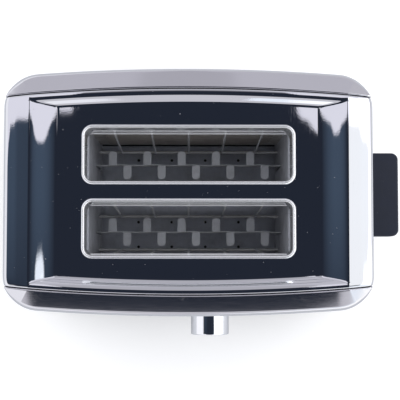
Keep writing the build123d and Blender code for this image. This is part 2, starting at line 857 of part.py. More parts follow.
def make_nodes():
    """The named pieces, about the body's centre."""
    nodes = {
        "top_cover": make_top_cover(),
        "front_panel": make_front_panel(),
        "back_panel": make_back_panel(),
        "base": make_base(),
        "rubber_feet": make_feet(),
        "chassis_left": make_chassis(-1),
        "chassis_right": make_chassis(1),
        "heat_shield_back": make_shield(1),
        "heat_shield_front": make_shield(-1),
        "element_board_back": make_board(board_y),
        "element_board_centre": make_board(0),
        "element_board_front": make_board(-board_y),
        "element_ribbon_back": make_ribbon(board_y, -1),
        "element_ribbon_centre": Compound([make_ribbon(0, 1), make_ribbon(0, -1)]),
        "element_ribbon_front": make_ribbon(-board_y, 1),
        "guide_rod": make_guide_rod(),
        "carriage_bumper": make_bumper(),
        "return_spring": make_return_spring(),
        "magnet_core": make_magnet_core(),
        "magnet_coil": make_magnet_coil(),
        "mains_switch": make_mains_switch(),
        "switch_contacts": make_switch_contacts(),
        "control_board": make_control_board(),
        "board_posts": make_board_posts(),
        "control_bracket": make_control_bracket(),
        "tact_switches": make_tact_switches(),
        "potentiometer": make_potentiometer(),
        "cord_inlet": make_cord_inlet(),
        "terminal_block": make_terminal_block(),
        "base_screws": make_base_screws(),
        "carriage_plate": make_carriage_plate(),
        "carriage_bushing": make_bushing(),
        "lever_arm": make_lever_arm(),
        "lever_grip": make_lever_grip(),
        "armature": make_armature(),
        "switch_striker": make_striker(),
        "browning_knob": make_knob(),
        "knob_shaft": make_knob_shaft(),
        "crumb_tray": make_crumb_tray(),
        "tray_pull": make_tray_pull(),
    }
    for name, y in slot_places():
        nodes["slot_ring_" + name] = make_slot_ring(y)
        nodes["bread_rack_" + name] = make_rack(y)
        for side, place in ((1, "rear"), (-1, "fore")):
            nodes["bread_guard_" + name + "_" + place] = make_guard(y, side)
    for name, z in zip(("defrost", "reheat", "cancel"), button_heights()):
        nodes[name + "_button"] = make_button(z)
    return nodes


def main():
    """Write one STEP file for each piece, moved so that the origin is as said above."""
    os.makedirs("parts", exist_ok=True)
    place = Pos(-lever_out / 2, knob_out / 2, 0)
    for name, shape in make_nodes().items():
        export_step(place * shape, "parts/" + name + ".step")


main()
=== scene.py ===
import json
import math

import bpy
from mathutils import Matrix, Vector


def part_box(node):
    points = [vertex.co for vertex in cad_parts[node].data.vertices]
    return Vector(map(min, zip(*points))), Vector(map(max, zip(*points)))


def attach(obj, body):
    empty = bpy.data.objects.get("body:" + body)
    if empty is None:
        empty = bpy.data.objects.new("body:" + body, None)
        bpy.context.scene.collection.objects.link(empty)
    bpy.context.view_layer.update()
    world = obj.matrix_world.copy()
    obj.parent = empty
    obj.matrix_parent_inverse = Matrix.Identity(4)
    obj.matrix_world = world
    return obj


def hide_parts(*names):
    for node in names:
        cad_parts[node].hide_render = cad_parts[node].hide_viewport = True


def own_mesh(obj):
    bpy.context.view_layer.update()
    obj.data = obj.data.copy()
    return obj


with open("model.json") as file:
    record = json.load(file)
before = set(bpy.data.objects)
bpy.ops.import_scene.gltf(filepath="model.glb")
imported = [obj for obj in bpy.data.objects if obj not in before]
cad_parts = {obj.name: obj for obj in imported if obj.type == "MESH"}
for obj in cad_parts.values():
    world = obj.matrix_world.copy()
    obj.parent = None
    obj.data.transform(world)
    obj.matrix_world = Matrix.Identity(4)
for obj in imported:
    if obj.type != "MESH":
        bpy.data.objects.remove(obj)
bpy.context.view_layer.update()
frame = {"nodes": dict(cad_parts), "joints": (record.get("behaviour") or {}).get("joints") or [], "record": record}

bl_info = {
    "name": "Two-slot toaster",
    "version": (1, 0, 0),
    "blender": (4, 5, 0),
    "location": "View3D > Sidebar > Toaster",
    "description": "Dresses the solids of a two-slot toaster in sheet steel, chrome, wire and plastic",
    "category": "Object",
}

COVER_LOW, COVER_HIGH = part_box("top_cover")
CENTRE = Vector(((COVER_LOW.x + COVER_HIGH.x) / 2, (COVER_LOW.y + COVER_HIGH.y) / 2, 0.0))
PANEL_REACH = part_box("back_panel")[1].y - CENTRE.y
MM = 0.001
SLOTS = (("back", 1), ("front", -1))
BUTTONS = ("defrost", "reheat", "cancel")

# Clearances and the reach of cutting tools past what they cut
RING_GAP = 0.2 * MM
ARM_GAP_BESIDE = 1.0 * MM
ARM_GAP_END = 2.0 * MM
SHAFT_HOLE = 5.0 * MM
BUTTON_HOLE = 6.35 * MM
CUT_PAST = 6.0 * MM


# Sizes and colours a user would change

def length(name, millimetres, description):
    """A length, given in millimetres, that shows in the scene's unit."""
    return bpy.props.FloatProperty(name=name, description=description, default=millimetres * MM,
                                   min=0.0, unit="LENGTH", subtype="DISTANCE", precision=4)


def colour(name, value, description):
    """A colour property."""
    return bpy.props.FloatVectorProperty(name=name, description=description, default=value,
                                         size=3, min=0.0, max=1.0, subtype="COLOR")


class ShellSizes(bpy.types.PropertyGroup):
    """The pressed sheet's sizes."""
    sheet: length("Sheet", 1.2, "Thickness of the cover and the wall panels")
    bow_radius: length("Bow radius", 1480.0, "Plan radius of the long walls")
    corner_radius: length("Corner radius", 26.0, "Plan radius of the body's corners")
    seam: length("Seam", 75.0, "Distance from the middle to the seam at the cover's edge")
    seam_gap: length("Seam gap", 0.4, "Width of the gap between cover and panel")
    seam_round: length("Seam rounding", 1.2, "Radius of the folded edges at the seam")
    fold: length("Fold", 9.0, "How far the folded edges go down into the seam")
    deck_sink: length("Deck depth", 5.2, "How far the deck lies under the rim")
    rim_inner: length("Rim inner edge", 70.55, "From the middle to the head of the deck's long wall")
    wall_foot: length("Deck wall foot", 65.85, "From the middle to the foot of the deck's long wall")
    rim_round: length("Rim rounding", 4.6, "Radius between the deck's long wall and the rim")
    foot_round: length("Foot rounding", 3.7, "Radius between the deck and its long wall")
    crease: length("Crest", 116.0, "From the middle to the crest of the end ramps")
    ramp: length("Ramp", 22.0, "Length of the ramp from the deck to its crest")
    crest_round: length("Crest rounding", 0.7, "How far the crest's rounding reaches to each side")
    mitre_round: length("Mitre rounding", 0.9, "Rounding between the end ramps and the long walls")
    band_drop: length("Band drop", 2.3, "How far the end band falls before it rolls over")
    band_round: length("Band rounding", 4.5, "Radius of the roll between the end band and the end wall")
    shoulder_round: length("Shoulder rounding", 5.5, "Radius between a panel's shoulder and its wall")
    shoulder_slope: bpy.props.FloatProperty(
        name="Shoulder slope", description="Slope of the panels' shoulders",
        default=math.atan(5.0 / 12.0), subtype="ANGLE", unit="ROTATION")


class FittingSizes(bpy.types.PropertyGroup):
    """Sizes of the rings, racks, guards, lever and knob."""
    slot_length: length("Slot length", 151.3, "Clear length of a bread slot")
    slot_width: length("Slot width", 38.7, "Clear width of a bread slot")
    slot_spacing: length("Slot spacing", 54.2, "Distance between the slots' middles")
    slot_corner: length("Slot corner", 5.5, "Corner radius of a bread slot")
    ring_wall: length("Ring wall", 1.2, "Thickness of a trim ring's sleeve")
    bead: length("Bead width", 2.5, "Width of a trim ring's bead")
    wire: length("Guard wire", 0.9, "Radius of the guards' upright wires")
    rod: length("Guard rod", 1.25, "Radius of the guards' long rods")
    wire_pitch: length("Wire pitch", 27.9, "From one guard wire, or one rack tab, to the next")
    tab_width: length("Tab width", 6.5, "Width of a rack's tab")
    tab_reach: length("Tab reach", 11.5, "How far a tab reaches out from the rack's spine")
    grip_corner: length("Grip corner", 5.2, "Radius of the lever grip's outer corners")
    knob_edge: length("Knob edge", 1.0, "Rounding of the knob's front edge")


class FinishColours(bpy.types.PropertyGroup):
    """Colours of the metals and plastics."""
    steel: colour("Steel", (0.80, 0.81, 0.84), "Polished sheet steel")
    panel: colour("Panel steel", (0.76, 0.76, 0.79), "Wall panels")
    chrome: colour("Chrome", (0.94, 0.95, 0.97), "Trim rings and knob")
    inner: colour("Inner steel", (0.58, 0.60, 0.66), "Zinc-coated sheet inside")
    rack: colour("Rack steel", (0.60, 0.62, 0.66), "Bread racks")
    wire: colour("Wire steel", (0.90, 0.91, 0.93), "Bread guards")
    tray: colour("Tray steel", (0.66, 0.69, 0.76), "Crumb tray")
    black: colour("Black plastic", (0.020, 0.021, 0.025), "Base, tray pull and inlet")
    grip: colour("Grip plastic", (0.008, 0.012, 0.026), "Lever grip")


# Modelling helpers

def clear_selection():
    """Leaves edit mode and deselects every object."""
    if bpy.context.object and bpy.context.object.mode != "OBJECT":
        bpy.ops.object.mode_set(mode="OBJECT")
    bpy.ops.object.select_all(action="DESELECT")


def pick(piece):
    """Makes one object the only selected and the active one."""
    clear_selection()
    piece.select_set(True)
    bpy.context.view_layer.objects.active = piece


def settle(piece, name=None):
    """Puts the object's place, turn and scale into its mesh."""
    pick(piece)
    bpy.ops.object.transform_apply(location=True, rotation=True, scale=True)
    if name:
        piece.name = name
        piece.data.name = name
    return piece


def skin(columns, rows, place):
    """A grid primitive whose corner in column i and row j goes to place(i, j)."""
    clear_selection()
    bpy.ops.mesh.primitive_grid_add(x_subdivisions=columns, y_subdivisions=rows, size=2)
    sheet = bpy.context.object
    for corner in sheet.data.vertices:
        i = round((corner.co.x + 1) / 2 * columns)
        j = round((corner.co.y + 1) / 2 * rows)
        corner.co = place(i, j)
    return sheet


def join(name, pieces, merge=2e-6):
    """Joins pieces into one mesh, merges the corners they share and turns the faces outwards."""
    clear_selection()
    for piece in pieces:
        piece.select_set(True)
    bpy.context.view_layer.objects.active = pieces[0]
    if len(pieces) > 1:
        bpy.ops.object.join()
    whole = settle(pieces[0], name)
    bpy.ops.object.mode_set(mode="EDIT")
    bpy.ops.mesh.select_all(action="SELECT")
    if merge:
        bpy.ops.mesh.remove_doubles(threshold=merge)
    bpy.ops.mesh.normals_make_consistent(inside=False)
    bpy.ops.object.mode_set(mode="OBJECT")
    return whole


def modify(piece, kind, **settings):
    """Adds a modifier and applies it."""
    pick(piece)
    modifier = piece.modifiers.new(kind.title(), kind)
    for key, value in settings.items():
        setattr(modifier, key, value)
    bpy.ops.object.modifier_apply(modifier=modifier.name)


def ease(piece, width, angle=40, segments=2):
    """Bevels every edge that is sharper than the angle."""
    modify(piece, "BEVEL", width=width, segments=segments, limit_method="ANGLE",
           angle_limit=math.radians(angle))


def round_edges(piece, chosen, width, segments):
    """Rounds the edges whose two ends pass the test."""
    pick(piece)
    bpy.ops.object.mode_set(mode="EDIT")
    bpy.ops.mesh.select_mode(type="EDGE")
    bpy.ops.mesh.select_all(action="DESELECT")
    bpy.ops.object.mode_set(mode="OBJECT")
    for line in piece.data.edges:
        line.select = chosen(*(piece.data.vertices[index].co for index in line.vertices))
    bpy.ops.object.mode_set(mode="EDIT")
    bpy.ops.mesh.bevel(offset=width, segments=segments, affect="EDGES")
    bpy.ops.object.mode_set(mode="OBJECT")


def cut(piece, cutter):
    """Takes a closed cutter out of a piece and removes it."""
    modify(piece, "BOOLEAN", operation="DIFFERENCE", solver="EXACT", object=cutter)
    bpy.data.objects.remove(cutter)


def smooth(piece, angle=32):
    """Smooth shading that keeps edges sharper than the angle."""
    pick(piece)
    bpy.ops.object.shade_smooth_by_angle(angle=math.radians(angle))
    modify(piece, "WEIGHTED_NORMAL", keep_sharp=True, weight=70)


def rounded_line(points, radii, steps=6):
    """A line in a plane whose inner corners are rounded, as a list of points."""
    points = [Vector(point) for point in points]
    line = [points[0]]
    for before, corner, after, radius in zip(points, points[1:], points[2:], radii):
        if radius <= 0:
            line.append(corner)
            continue
        inward, outward = (before - corner).normalized(), (after - corner).normalized()
        half = inward.angle(outward) / 2
        start = corner + inward * radius / math.tan(half)
        end = corner + outward * radius / math.tan(half)
        middle = corner + (inward + outward).normalized() * radius / math.sin(half)
        first, last = start - middle, end - middle
        turn = math.atan2(first.x * last.y - first.y * last.x, first.dot(last))
        for step in range(steps + 1):
            line.append(middle + Matrix.Rotation(turn * step / steps, 2) @ first)
    return line + [points[-1]]


def rounded_box(low, high, turned=(), radius=0.0, edge=0.0, segments=6):
    """A block whose edges along Z at the named corners are rounded, and whose other edges are eased."""
    clear_selection()
    low, high = Vector(low), Vector(high)
    bpy.ops.mesh.primitive_cube_add(size=1, location=(low + high) / 2)
    box = bpy.context.object
    box.scale = high - low
    settle(box)
    middle = (low + high) / 2

    def is_turned(a, b):
        spot = (1 if a.x > middle.x else -1, 1 if a.y > middle.y else -1)
        return abs(a.z - b.z) > 1e-6 and spot in turned

    if turned:
        round_edges(box, is_turned, radius, segments)
    if edge:
        ease(box, edge)
    return box


def drum(start, end, radius, sides=48):
    """A closed round bar between two points."""
    clear_selection()
    start, end = Vector(start), Vector(end)
    bpy.ops.mesh.primitive_cylinder_add(vertices=sides, radius=radius, depth=(end - start).length,
                                        location=(start + end) / 2)
    bar = bpy.context.object
    bar.rotation_mode = "QUATERNION"
    bar.rotation_quaternion = (end - start).to_track_quat("Z", "Y")
    return settle(bar)


def bent_wire(points, radius):
    """A round wire along a smooth line through the points."""
    clear_selection()
    curve = bpy.data.curves.new("wire", "CURVE")
    curve.dimensions = "3D"
    curve.bevel_depth = radius
    curve.bevel_resolution = 5
    curve.use_fill_caps = True
    spline = curve.splines.new("NURBS")
    spline.points.add(len(points) - 1)
    for point, place in zip(spline.points, points):
        point.co = (*place, 1.0)
    spline.order_u = 3
    spline.use_endpoint_u = True
    spline.resolution_u = 6
    wire = bpy.data.objects.new("wire", curve)
    bpy.context.collection.objects.link(wire)
    pick(wire)
    bpy.ops.object.convert(target="MESH")
    return bpy.context.object


def rounded_outline(half_x, half_y, corner, arc=8, straight_x=10, straight_y=4):
    """Points and outward directions once round a rounded rectangle, the first not repeated."""
    spots = []
    quarters = ((1, 1, 0), (-1, 1, 90), (-1, -1, 180), (1, -1, 270))
    for index, (sx, sy, start) in enumerate(quarters):
        centre = Vector((sx * (half_x - corner), sy * (half_y - corner)))
        for step in range(arc + 1):
            angle = math.radians(start + 90 * step / arc)
            out = Vector((math.cos(angle), math.sin(angle)))
            spots.append((centre + out * corner, out))
        following = quarters[(index + 1) % 4]
        target = Vector((following[0] * (half_x - corner), following[1] * (half_y - corner)))
        pieces = straight_x if index % 2 == 0 else straight_y
        out = spots[-1][1]
        for step in range(1, pieces):
            spots.append((centre.lerp(target, step / pieces) + out * corner, out))
    return spots


def dressed_copy(node, edge, name=None, angle=35):
    """A copy of a solid with merged corners, flat faces made whole and its edges eased."""
    source = frame["nodes"][node]
    clear_selection()
    copy = bpy.data.objects.new(name or node + "_dressed", source.data.copy())
    bpy.context.collection.objects.link(copy)
    copy.data.materials.clear()
    pick(copy)
    bpy.ops.object.mode_set(mode="EDIT")
    bpy.ops.mesh.select_all(action="SELECT")
    bpy.ops.mesh.remove_doubles(threshold=1e-6)
    bpy.ops.mesh.dissolve_limited(angle_limit=math.radians(2))
    bpy.ops.object.mode_set(mode="OBJECT")
    if edge:
        ease(copy, edge, angle)
    smooth(copy)
    return copy


def lever_travel():
    """How far the lever goes down."""
    return next(joint["range_m"][1] for joint in frame["joints"] if joint["name"] == "lever_slide")


def hand_over(piece, body, slot, *nodes):
    """Hides the solids the piece stands in for, hangs it under the body it rides on and gives it the slot's
    finish.
    """
    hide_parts(*nodes)
    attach(piece, body)
    piece.data.materials.clear()
    piece.data.materials.append(finish(slot))


# Materials

class Wire:
    """A node's output; arithmetic on it adds Math nodes."""

    def __init__(self, surface, socket):
        self.surface = surface
        self.socket = socket

    def math(self, operation, first, second=0.0):
        """A Math node on two values or links."""
        return self.surface.node("ShaderNodeMath", {"operation": operation}, {0: first, 1: second})

    def __add__(self, other):
        return self.math("ADD", self, other)

    def __radd__(self, other):
        return self.math("ADD", other, self)

    def __sub__(self, other):
        return self.math("SUBTRACT", self, other)

    def __rsub__(self, other):
        return self.math("SUBTRACT", other, self)

    def __mul__(self, other):
        return self.math("MULTIPLY", self, other)

    def __rmul__(self, other):
        return self.math("MULTIPLY", other, self)

    def __gt__(self, other):
        return self.math("GREATER_THAN", self, other)

    def __abs__(self):
        return self.math("ABSOLUTE", self)

    def step(self, low, high):
        """0 below low, 1 above high, smooth between."""
        return self.surface.node("ShaderNodeMapRange", {"interpolation_type": "SMOOTHSTEP"},
                                 {"Value": self, "From Min": low, "From Max": high})


class Surface:
    """A material, or the world, as a set of nodes."""

    def __init__(self, tree):
        self.tree = tree
        self.here = None

    def node(self, kind, settings=None, inputs=None, output=0):
        """Any node: its settings first, then the values or links of its sockets."""
        made = self.tree.nodes.new(kind)
        for key, value in (settings or {}).items():
            setattr(made, key, value)
        for key, value in (inputs or {}).items():
            if isinstance(value, Wire):
                self.tree.links.new(value.socket, made.inputs[key])
            else:
                made.inputs[key].default_value = value
        return None if output is None else Wire(self, made.outputs[output])

    def place(self, scale=(1, 1, 1), turn=(0, 0, 0)):
        """Where the point is on the piece, stretched and turned by degrees."""
        if self.here is None:
            self.here = self.node("ShaderNodeTexCoord", output="Object")
        rotation = [math.radians(angle) for angle in turn]
        return self.node("ShaderNodeMapping", {},
                         {"Vector": self.here, "Scale": scale, "Rotation": rotation})

    def noise(self, size, detail=3.0, roughness=0.5, stretch=(1, 1, 1), turn=(0, 0, 0)):
        """Noise whose grains are about size metres across."""
        return self.node("ShaderNodeTexNoise", {}, {
            "Vector": self.place(stretch, turn), "Scale": 1.0 / size, "Detail": detail,
            "Roughness": roughness}, "Fac")

    def flakes(self, size):
        """Cells about size metres across, each with a value of its own."""
        cells = self.node("ShaderNodeTexVoronoi", {"feature": "F1"},
                          {"Vector": self.place(), "Scale": 1.0 / size}, "Color")
        return self.axes(cells)[0]

    def axes(self, vector):
        """The three parts of a vector."""
        split = self.node("ShaderNodeSeparateXYZ", {}, {0: vector})
        node = split.socket.node
        return tuple(Wire(self, node.outputs[index]) for index in range(3))

    def blend(self, factor, first, second):
        """From the first colour to the second."""
        tone = [value if isinstance(value, Wire) else (*value, 1.0) for value in (first, second)]
        return self.node("ShaderNodeMix", {"data_type": "RGBA"}, {0: factor, 6: tone[0], 7: tone[1]}, 2)

    def shade(self, tint, factor):
        """A colour made lighter or darker by a value."""
        tone = tint if isinstance(tint, Wire) else tuple(tint)
        return self.node("ShaderNodeVectorMath", {"operation": "SCALE"}, {0: tone, "Scale": factor})

    def bump(self, height, distance, strength=1.0, onto=None):
        """A Normal from a height map."""
        inputs = {"Height": height, "Distance": distance, "Strength": strength}
        if onto is not None:
            inputs["Normal"] = onto
        return self.node("ShaderNodeBump", {}, inputs)


class Finish(Surface):
    """A material with one Principled surface, whose constants are set on its own sockets."""

    def __init__(self, name, **constants):
        self.material = bpy.data.materials.new(name)
        self.material.use_nodes = True
        super().__init__(self.material.node_tree)
        self.shader = self.tree.nodes["Principled BSDF"]
        for key, value in constants.items():
            self.shader.inputs[key.replace("_", " ")].default_value = value

    def feed(self, **sockets):
        """Links what varies over the surface."""
        for key, value in sockets.items():
            self.tree.links.new(value.socket, self.shader.inputs[key.replace("_", " ")])
        return self.material


def darker(tint, share):
    """A plain colour times a share."""
    return tuple(part * share for part in tint)


def scratches(surface, angle, sparse=0.62):
    """Fine straight scratches in one direction: 1 in a scratch, 0 beside it."""
    line = surface.noise(0.0006, 2.0, stretch=(1, 0.03, 1), turn=(0, 0, angle))
    return line.step(sparse, sparse + 0.12)


def mirror_sheet(name, tint, rough=0.012):
    """Polished steel: hairlines, a few specks of dust and the slight waves of pressed sheet."""
    steel = Finish(name, Metallic=1.0)
    hair = scratches(steel, 4) * 0.5 + scratches(steel, 81, 0.66) * 0.5
    haze = steel.noise(0.03, 4.0)
    specks = steel.noise(0.0016, 1.0).step(0.785, 0.815)
    rough_map = haze * 0.012 + rough + hair * 0.02 + specks * 0.35
    tone = steel.shade(steel.blend(haze * 0.5, tint, darker(tint, 0.94)), 1.0 - specks * 0.25)
    wave = steel.noise(0.035, 1.0, stretch=(1, 1.4, 1))
    grain = steel.noise(0.0012, 2.0)
    normal = steel.bump(wave, 0.00012, 0.3, steel.bump(grain + hair * 0.6, 0.000004, 0.4))
    return steel.feed(Base_Color=tone, Roughness=rough_map, Normal=normal)


def satin_sheet(name, tint, rough):
    """Steel with a fine grain brushed along X and faint handling marks."""
    steel = Finish(name, Metallic=1.0)
    grain = steel.noise(0.0004, 2.0, stretch=(0.03, 1, 1))
    cloud = steel.noise(0.04, 3.0)
    marks = steel.noise(0.012, 4.0, 0.65).step(0.62, 0.75)
    rough_map = grain * 0.08 + rough - 0.04 + marks * 0.06
    tone = steel.blend(cloud * 0.6, tint, darker(tint, 0.93))
    normal = steel.bump(grain, 0.00001, 0.4)
    return steel.feed(Base_Color=tone, Roughness=rough_map, Normal=normal)


def chromed(name, tint, rough, metallic=1.0):
    """Chrome plate: near-perfect mirror with faint wiping marks."""
    plate = Finish(name, Metallic=metallic)
    wipe = plate.noise(0.008, 3.0, stretch=(0.4, 1, 1))
    specks = plate.noise(0.001, 1.0).step(0.78, 0.8)
    tone = plate.blend(wipe * 0.4, tint, darker(tint, 0.95))
    normal = plate.bump(plate.noise(0.004, 2.0), 0.00001, 0.3)
    return plate.feed(Base_Color=tone, Roughness=wipe * 0.03 + rough + specks * 0.2, Normal=normal)


def rolled_sheet(name, tint, rough=0.38, spangle=0.006, metallic=0.3):
    """Dull zinc-coated or rolled sheet with soft spangle, rolling lines and stains."""
    sheet = Finish(name, Metallic=metallic)
    flake = sheet.flakes(spangle)
    lines = sheet.noise(0.0008, 2.0, stretch=(0.04, 1, 1))
    stain = sheet.noise(0.02, 4.0, 0.6).step(0.45, 0.75)
    tone = sheet.shade(sheet.blend(flake * 0.5, tint, darker(tint, 0.86)), 1.0 - stain * 0.22)
    rough_map = flake * 0.1 + rough - 0.05 + lines * 0.08 + stain * 0.12
    normal = sheet.bump(lines + flake * 0.3, 0.00002, 0.5)
    return sheet.feed(Base_Color=tone, Roughness=rough_map, Normal=normal)


def moulded(name, tint, rough, grain_size=0.0007, depth=0.00003, coat=0.0):
    """Moulded plastic with a fine eroded texture and rubbed, slightly glossier patches."""
    plastic = Finish(name, Metallic=0.0, Coat_Weight=coat, Coat_Roughness=0.2, Specular_IOR_Level=0.4)
    grain = plastic.noise(grain_size, 3.0, 0.6)
    rub = plastic.noise(0.015, 3.0).step(0.4, 0.7)
    dust = plastic.noise(0.0012, 2.0).step(0.7, 0.76)
    tone = plastic.blend(dust * 0.25, plastic.shade(tint, 1.0 + rub * 0.12), (0.35, 0.35, 0.36))
    return plastic.feed(Base_Color=tone, Roughness=grain * 0.12 + rough - rub * 0.07,
                        Normal=plastic.bump(grain, depth, 0.6))


def flaky_mica(name):
    """Mica board: pale flakes pressed into a sheet, scorched in places."""
    board = Finish(name, Metallic=0.0, Coat_Weight=0.2)
    flake = board.flakes(1 / 180)
    scorch = board.noise(0.03, 3.0).step(0.5, 0.8)
    tone = board.shade(board.blend(flake, (0.60, 0.58, 0.54), (0.46, 0.44, 0.41)), 1.0 - scorch * 0.35)
    normal = board.bump(flake, 0.00005, 0.5)
    return board.feed(Base_Color=tone, Roughness=flake * 0.25 + 0.3, Normal=normal)


def printed_board(name):
    """Lacquered board with faint copper tracks under the green."""
    board = Finish(name, Metallic=0.0, Coat_Weight=0.5, Coat_Roughness=0.1)
    tracks = board.node("ShaderNodeTexBrick", {}, {"Vector": board.place(turn=(90, 0, 0)),
                                                   "Scale": 90.0, "Mortar Size": 0.04}, "Fac")
    tone = board.blend(tracks, (0.02, 0.14, 0.05), (0.08, 0.30, 0.12))
    return board.feed(Base_Color=tone, Roughness=board.noise(0.004) * 0.2 + 0.25,
                      Normal=board.bump(tracks, 0.00003))


def wound_copper(name):
    """Enamelled copper wire wound in close turns."""
    coil = Finish(name, Metallic=1.0)
    turns = coil.node("ShaderNodeTexWave", {"bands_direction": "Z"},
                      {"Vector": coil.place(), "Scale": 330.0}, "Fac")
    tone = coil.blend(turns, (0.28, 0.10, 0.04), (0.62, 0.28, 0.12))
    return coil.feed(Base_Color=tone, Roughness=turns * 0.1 + 0.28, Normal=coil.bump(turns, 0.0001))


# For each slot: how its finish is made, its colour or the name of one of the colours, and its measures
FINISHES = {
    "polished_steel": (mirror_sheet, "steel"),
    "panel_steel": (satin_sheet, "panel", 0.075),
    "ring_chrome": (chromed, "chrome", 0.03, 0.75),
    "knob_chrome": (chromed, "chrome", 0.02),
    "bright_steel": (chromed, (0.7, 0.7, 0.72), 0.15),
    "wire_steel": (chromed, "wire", 0.2, 0.55),
    "galvanised_steel": (rolled_sheet, "inner"),
    "rack_steel": (rolled_sheet, "rack", 0.32, 0.003),
    "tray_steel": (rolled_sheet, "tray", 0.3, 0.004, 0.6),
    "nichrome": (rolled_sheet, (0.36, 0.33, 0.31), 0.35, 0.002),
    "contact_brass": (rolled_sheet, (0.66, 0.47, 0.19), 0.3, 0.002),
    "coil_copper": (wound_copper,),
    "mica": (flaky_mica,),
    "board_green": (printed_board,),
    "black_plastic": (moulded, "black", 0.5),
    "grip_plastic": (moulded, "grip", 0.38, 0.0005, 0.00001),
    "button_plastic": (moulded, "black", 0.22, 0.0005, 0.000005, 0.4),
    "white_plastic": (moulded, (0.72, 0.72, 0.69), 0.4),
    "component_black": (moulded, (0.04, 0.04, 0.042), 0.5),
    "rubber": (moulded, (0.025, 0.025, 0.026), 0.75, 0.0005, 0.00002),
}


def finish(slot):
    """The material of one of the record's slots, made when first asked for."""
    name = slot + "_finish"
    if name not in bpy.data.materials:
        make, *values = FINISHES[slot]
        if values and isinstance(values[0], str):
            values[0] = tuple(getattr(bpy.context.scene.toaster_colours, values[0]))
        make(name, *values)
    return bpy.data.materials[name]


# Forms that several sheets share

def bow(depth, x, shell):
    """Where a bowed edge stands at x: all of them share one far centre."""
    radius = shell.bow_radius - PANEL_REACH + depth
    return depth - radius + math.sqrt(radius ** 2 - x ** 2)


class Form:
    """Points of the body's outer skin, measured from its middle."""

    def __init__(self):
        self.shell = bpy.context.scene.toaster_shell
        shell = self.shell
        self.half_length = (COVER_HIGH.x - COVER_LOW.x) / 2
        self.top = COVER_HIGH.z
        self.bottom = COVER_LOW.z
        self.deck = self.top - shell.deck_sink
        self.corner = self.corner_centre()
        self.wall = rounded_line([(shell.wall_foot - 3 * MM, self.deck), (shell.wall_foot, self.deck),
                                  (shell.rim_inner, self.top), (shell.seam, self.top)],
                                 [shell.foot_round, shell.rim_round])[1:-1]
        self.ramp = self.ramp_line()
        self.band = self.band_line()

    def band_line(self):
        """The end band's profile from its crest, over the roll and down the end wall, in short steps."""
        shell = self.shell
        drop, inner_share = shell.band_drop, 0.44
        mid = (self.half_length + shell.crease) / 2
        band = rounded_line([(shell.crease, self.top), (mid, self.top - drop * inner_share),
                             (self.half_length, self.top - drop), (self.half_length, self.bottom)],
                            [0, shell.band_round], 10)
        run = (band[1] - band[0]).length
        line = [band[0].lerp(band[1], shell.crest_round * k / 4 / run) for k in range(5)]
        band[0] = line[-1]
        longest = 1.6 * MM
        for before, point in zip(band, band[1:-1]):
            pieces = max(1, round((point - before).length / longest))
            line += [before.lerp(point, k / pieces) for k in range(1, pieces + 1)]
        return line + [band[-1]]

    def ramp_line(self):
        """The end ramp's profile from the deck up to its crest, built up from its slopes."""
        shell = self.shell
        heights = [0.0]
        pieces = 44
        for piece in range(pieces):
            share = (piece + 0.5) / pieces
            for (near, low), (far, high) in zip(RAMP_SLOPES, RAMP_SLOPES[1:]):
                if near <= share <= far:
                    slope = low + (high - low) * (share - near) / (far - near)
            heights.append(heights[-1] + math.tan(math.radians(slope)))
        start = shell.crease - shell.ramp
        return [Vector((start + shell.ramp * k / pieces,
                        self.deck + shell.deck_sink * height / heights[-1]))
                for k, height in enumerate(heights)]

    def corner_centre(self):
        """The plan corner's centre: its arc is tangent to the bowed wall and the straight end."""
        radius = self.shell.bow_radius
        inner = radius - self.shell.corner_radius
        x = self.half_length - self.shell.corner_radius
        return Vector((x, PANEL_REACH - radius + math.sqrt(inner ** 2 - x ** 2)))

    @staticmethod
    def reach(profile, height):
        """How far a rising profile is from the middle at a height between deck and rim."""
        for low, high in zip(profile, profile[1:]):
            if low.y <= height <= high.y + 1e-9 and high.y > low.y:
                return low.x + (high.x - low.x) * (height - low.y) / (high.y - low.y)
        return profile[-1].x

    def deck_reach(self, height):
        """How far the deck's long wall is from the middle at a height."""
        return self.reach(self.wall, height)

    def ramp_reach(self, rise):
        """How far the end ramp is from the middle where it has climbed this part of the way."""
        return self.reach(self.ramp, self.deck + self.shell.deck_sink * rise)

    def edge(self, y):
        """How far the end wall is from the middle at y."""
        over = abs(y) - self.corner.y
        if over <= 0:
            return self.half_length
        return self.corner.x + math.sqrt(self.shell.corner_radius ** 2 - over ** 2)

    def outline(self, x):
        """How far the long wall's plan outline is from the middle at x."""
        lean = self.corner.x / (self.shell.bow_radius - self.shell.corner_radius)
        if abs(x) <= self.corner.x + self.shell.corner_radius * lean:
            return bow(PANEL_REACH, x, self.shell)
        over = min(abs(x) - self.corner.x, self.shell.corner_radius)
        return self.corner.y + math.sqrt(self.shell.corner_radius ** 2 - over ** 2)

    def band_point(self, station, y):
        """A point of the end band or end wall, in the profile's station and at y."""
        point = self.band[station]
        share = (self.edge(y) - self.shell.crease) / (self.half_length - self.shell.crease)
        return self.shell.crease + (point.x - self.shell.crease) * share, point.y

    def band_normal(self, station):
        """The profile's outward direction at a station, along X and Z."""
        if station == 0:
            return Vector((0.0, 1.0))
        before = self.band[station - 1]
        after = self.band[min(station + 1, len(self.band) - 1)]
        run = (after - before).normalized()
        return Vector((-run.y, run.x))


def at(x, y, z):
    """A point given from the body's middle, in the frame."""
    return Vector((CENTRE.x + x, CENTRE.y + y, z))


# The end ramps' slope in degrees at shares of the way from the deck to the crest
RAMP_SLOPES = ((0.0, 0.0), (0.09, 6.0), (0.18, 12.0), (0.36, 15.0), (0.55, 17.0), (0.73, 17.0),
               (0.86, 15.5), (1.0, 11.0))
# Shares of the climb from the deck, closer together at its foot and its crest
RISES = [(1 - math.cos(math.pi * k / 36)) / 2 for k in range(37)]
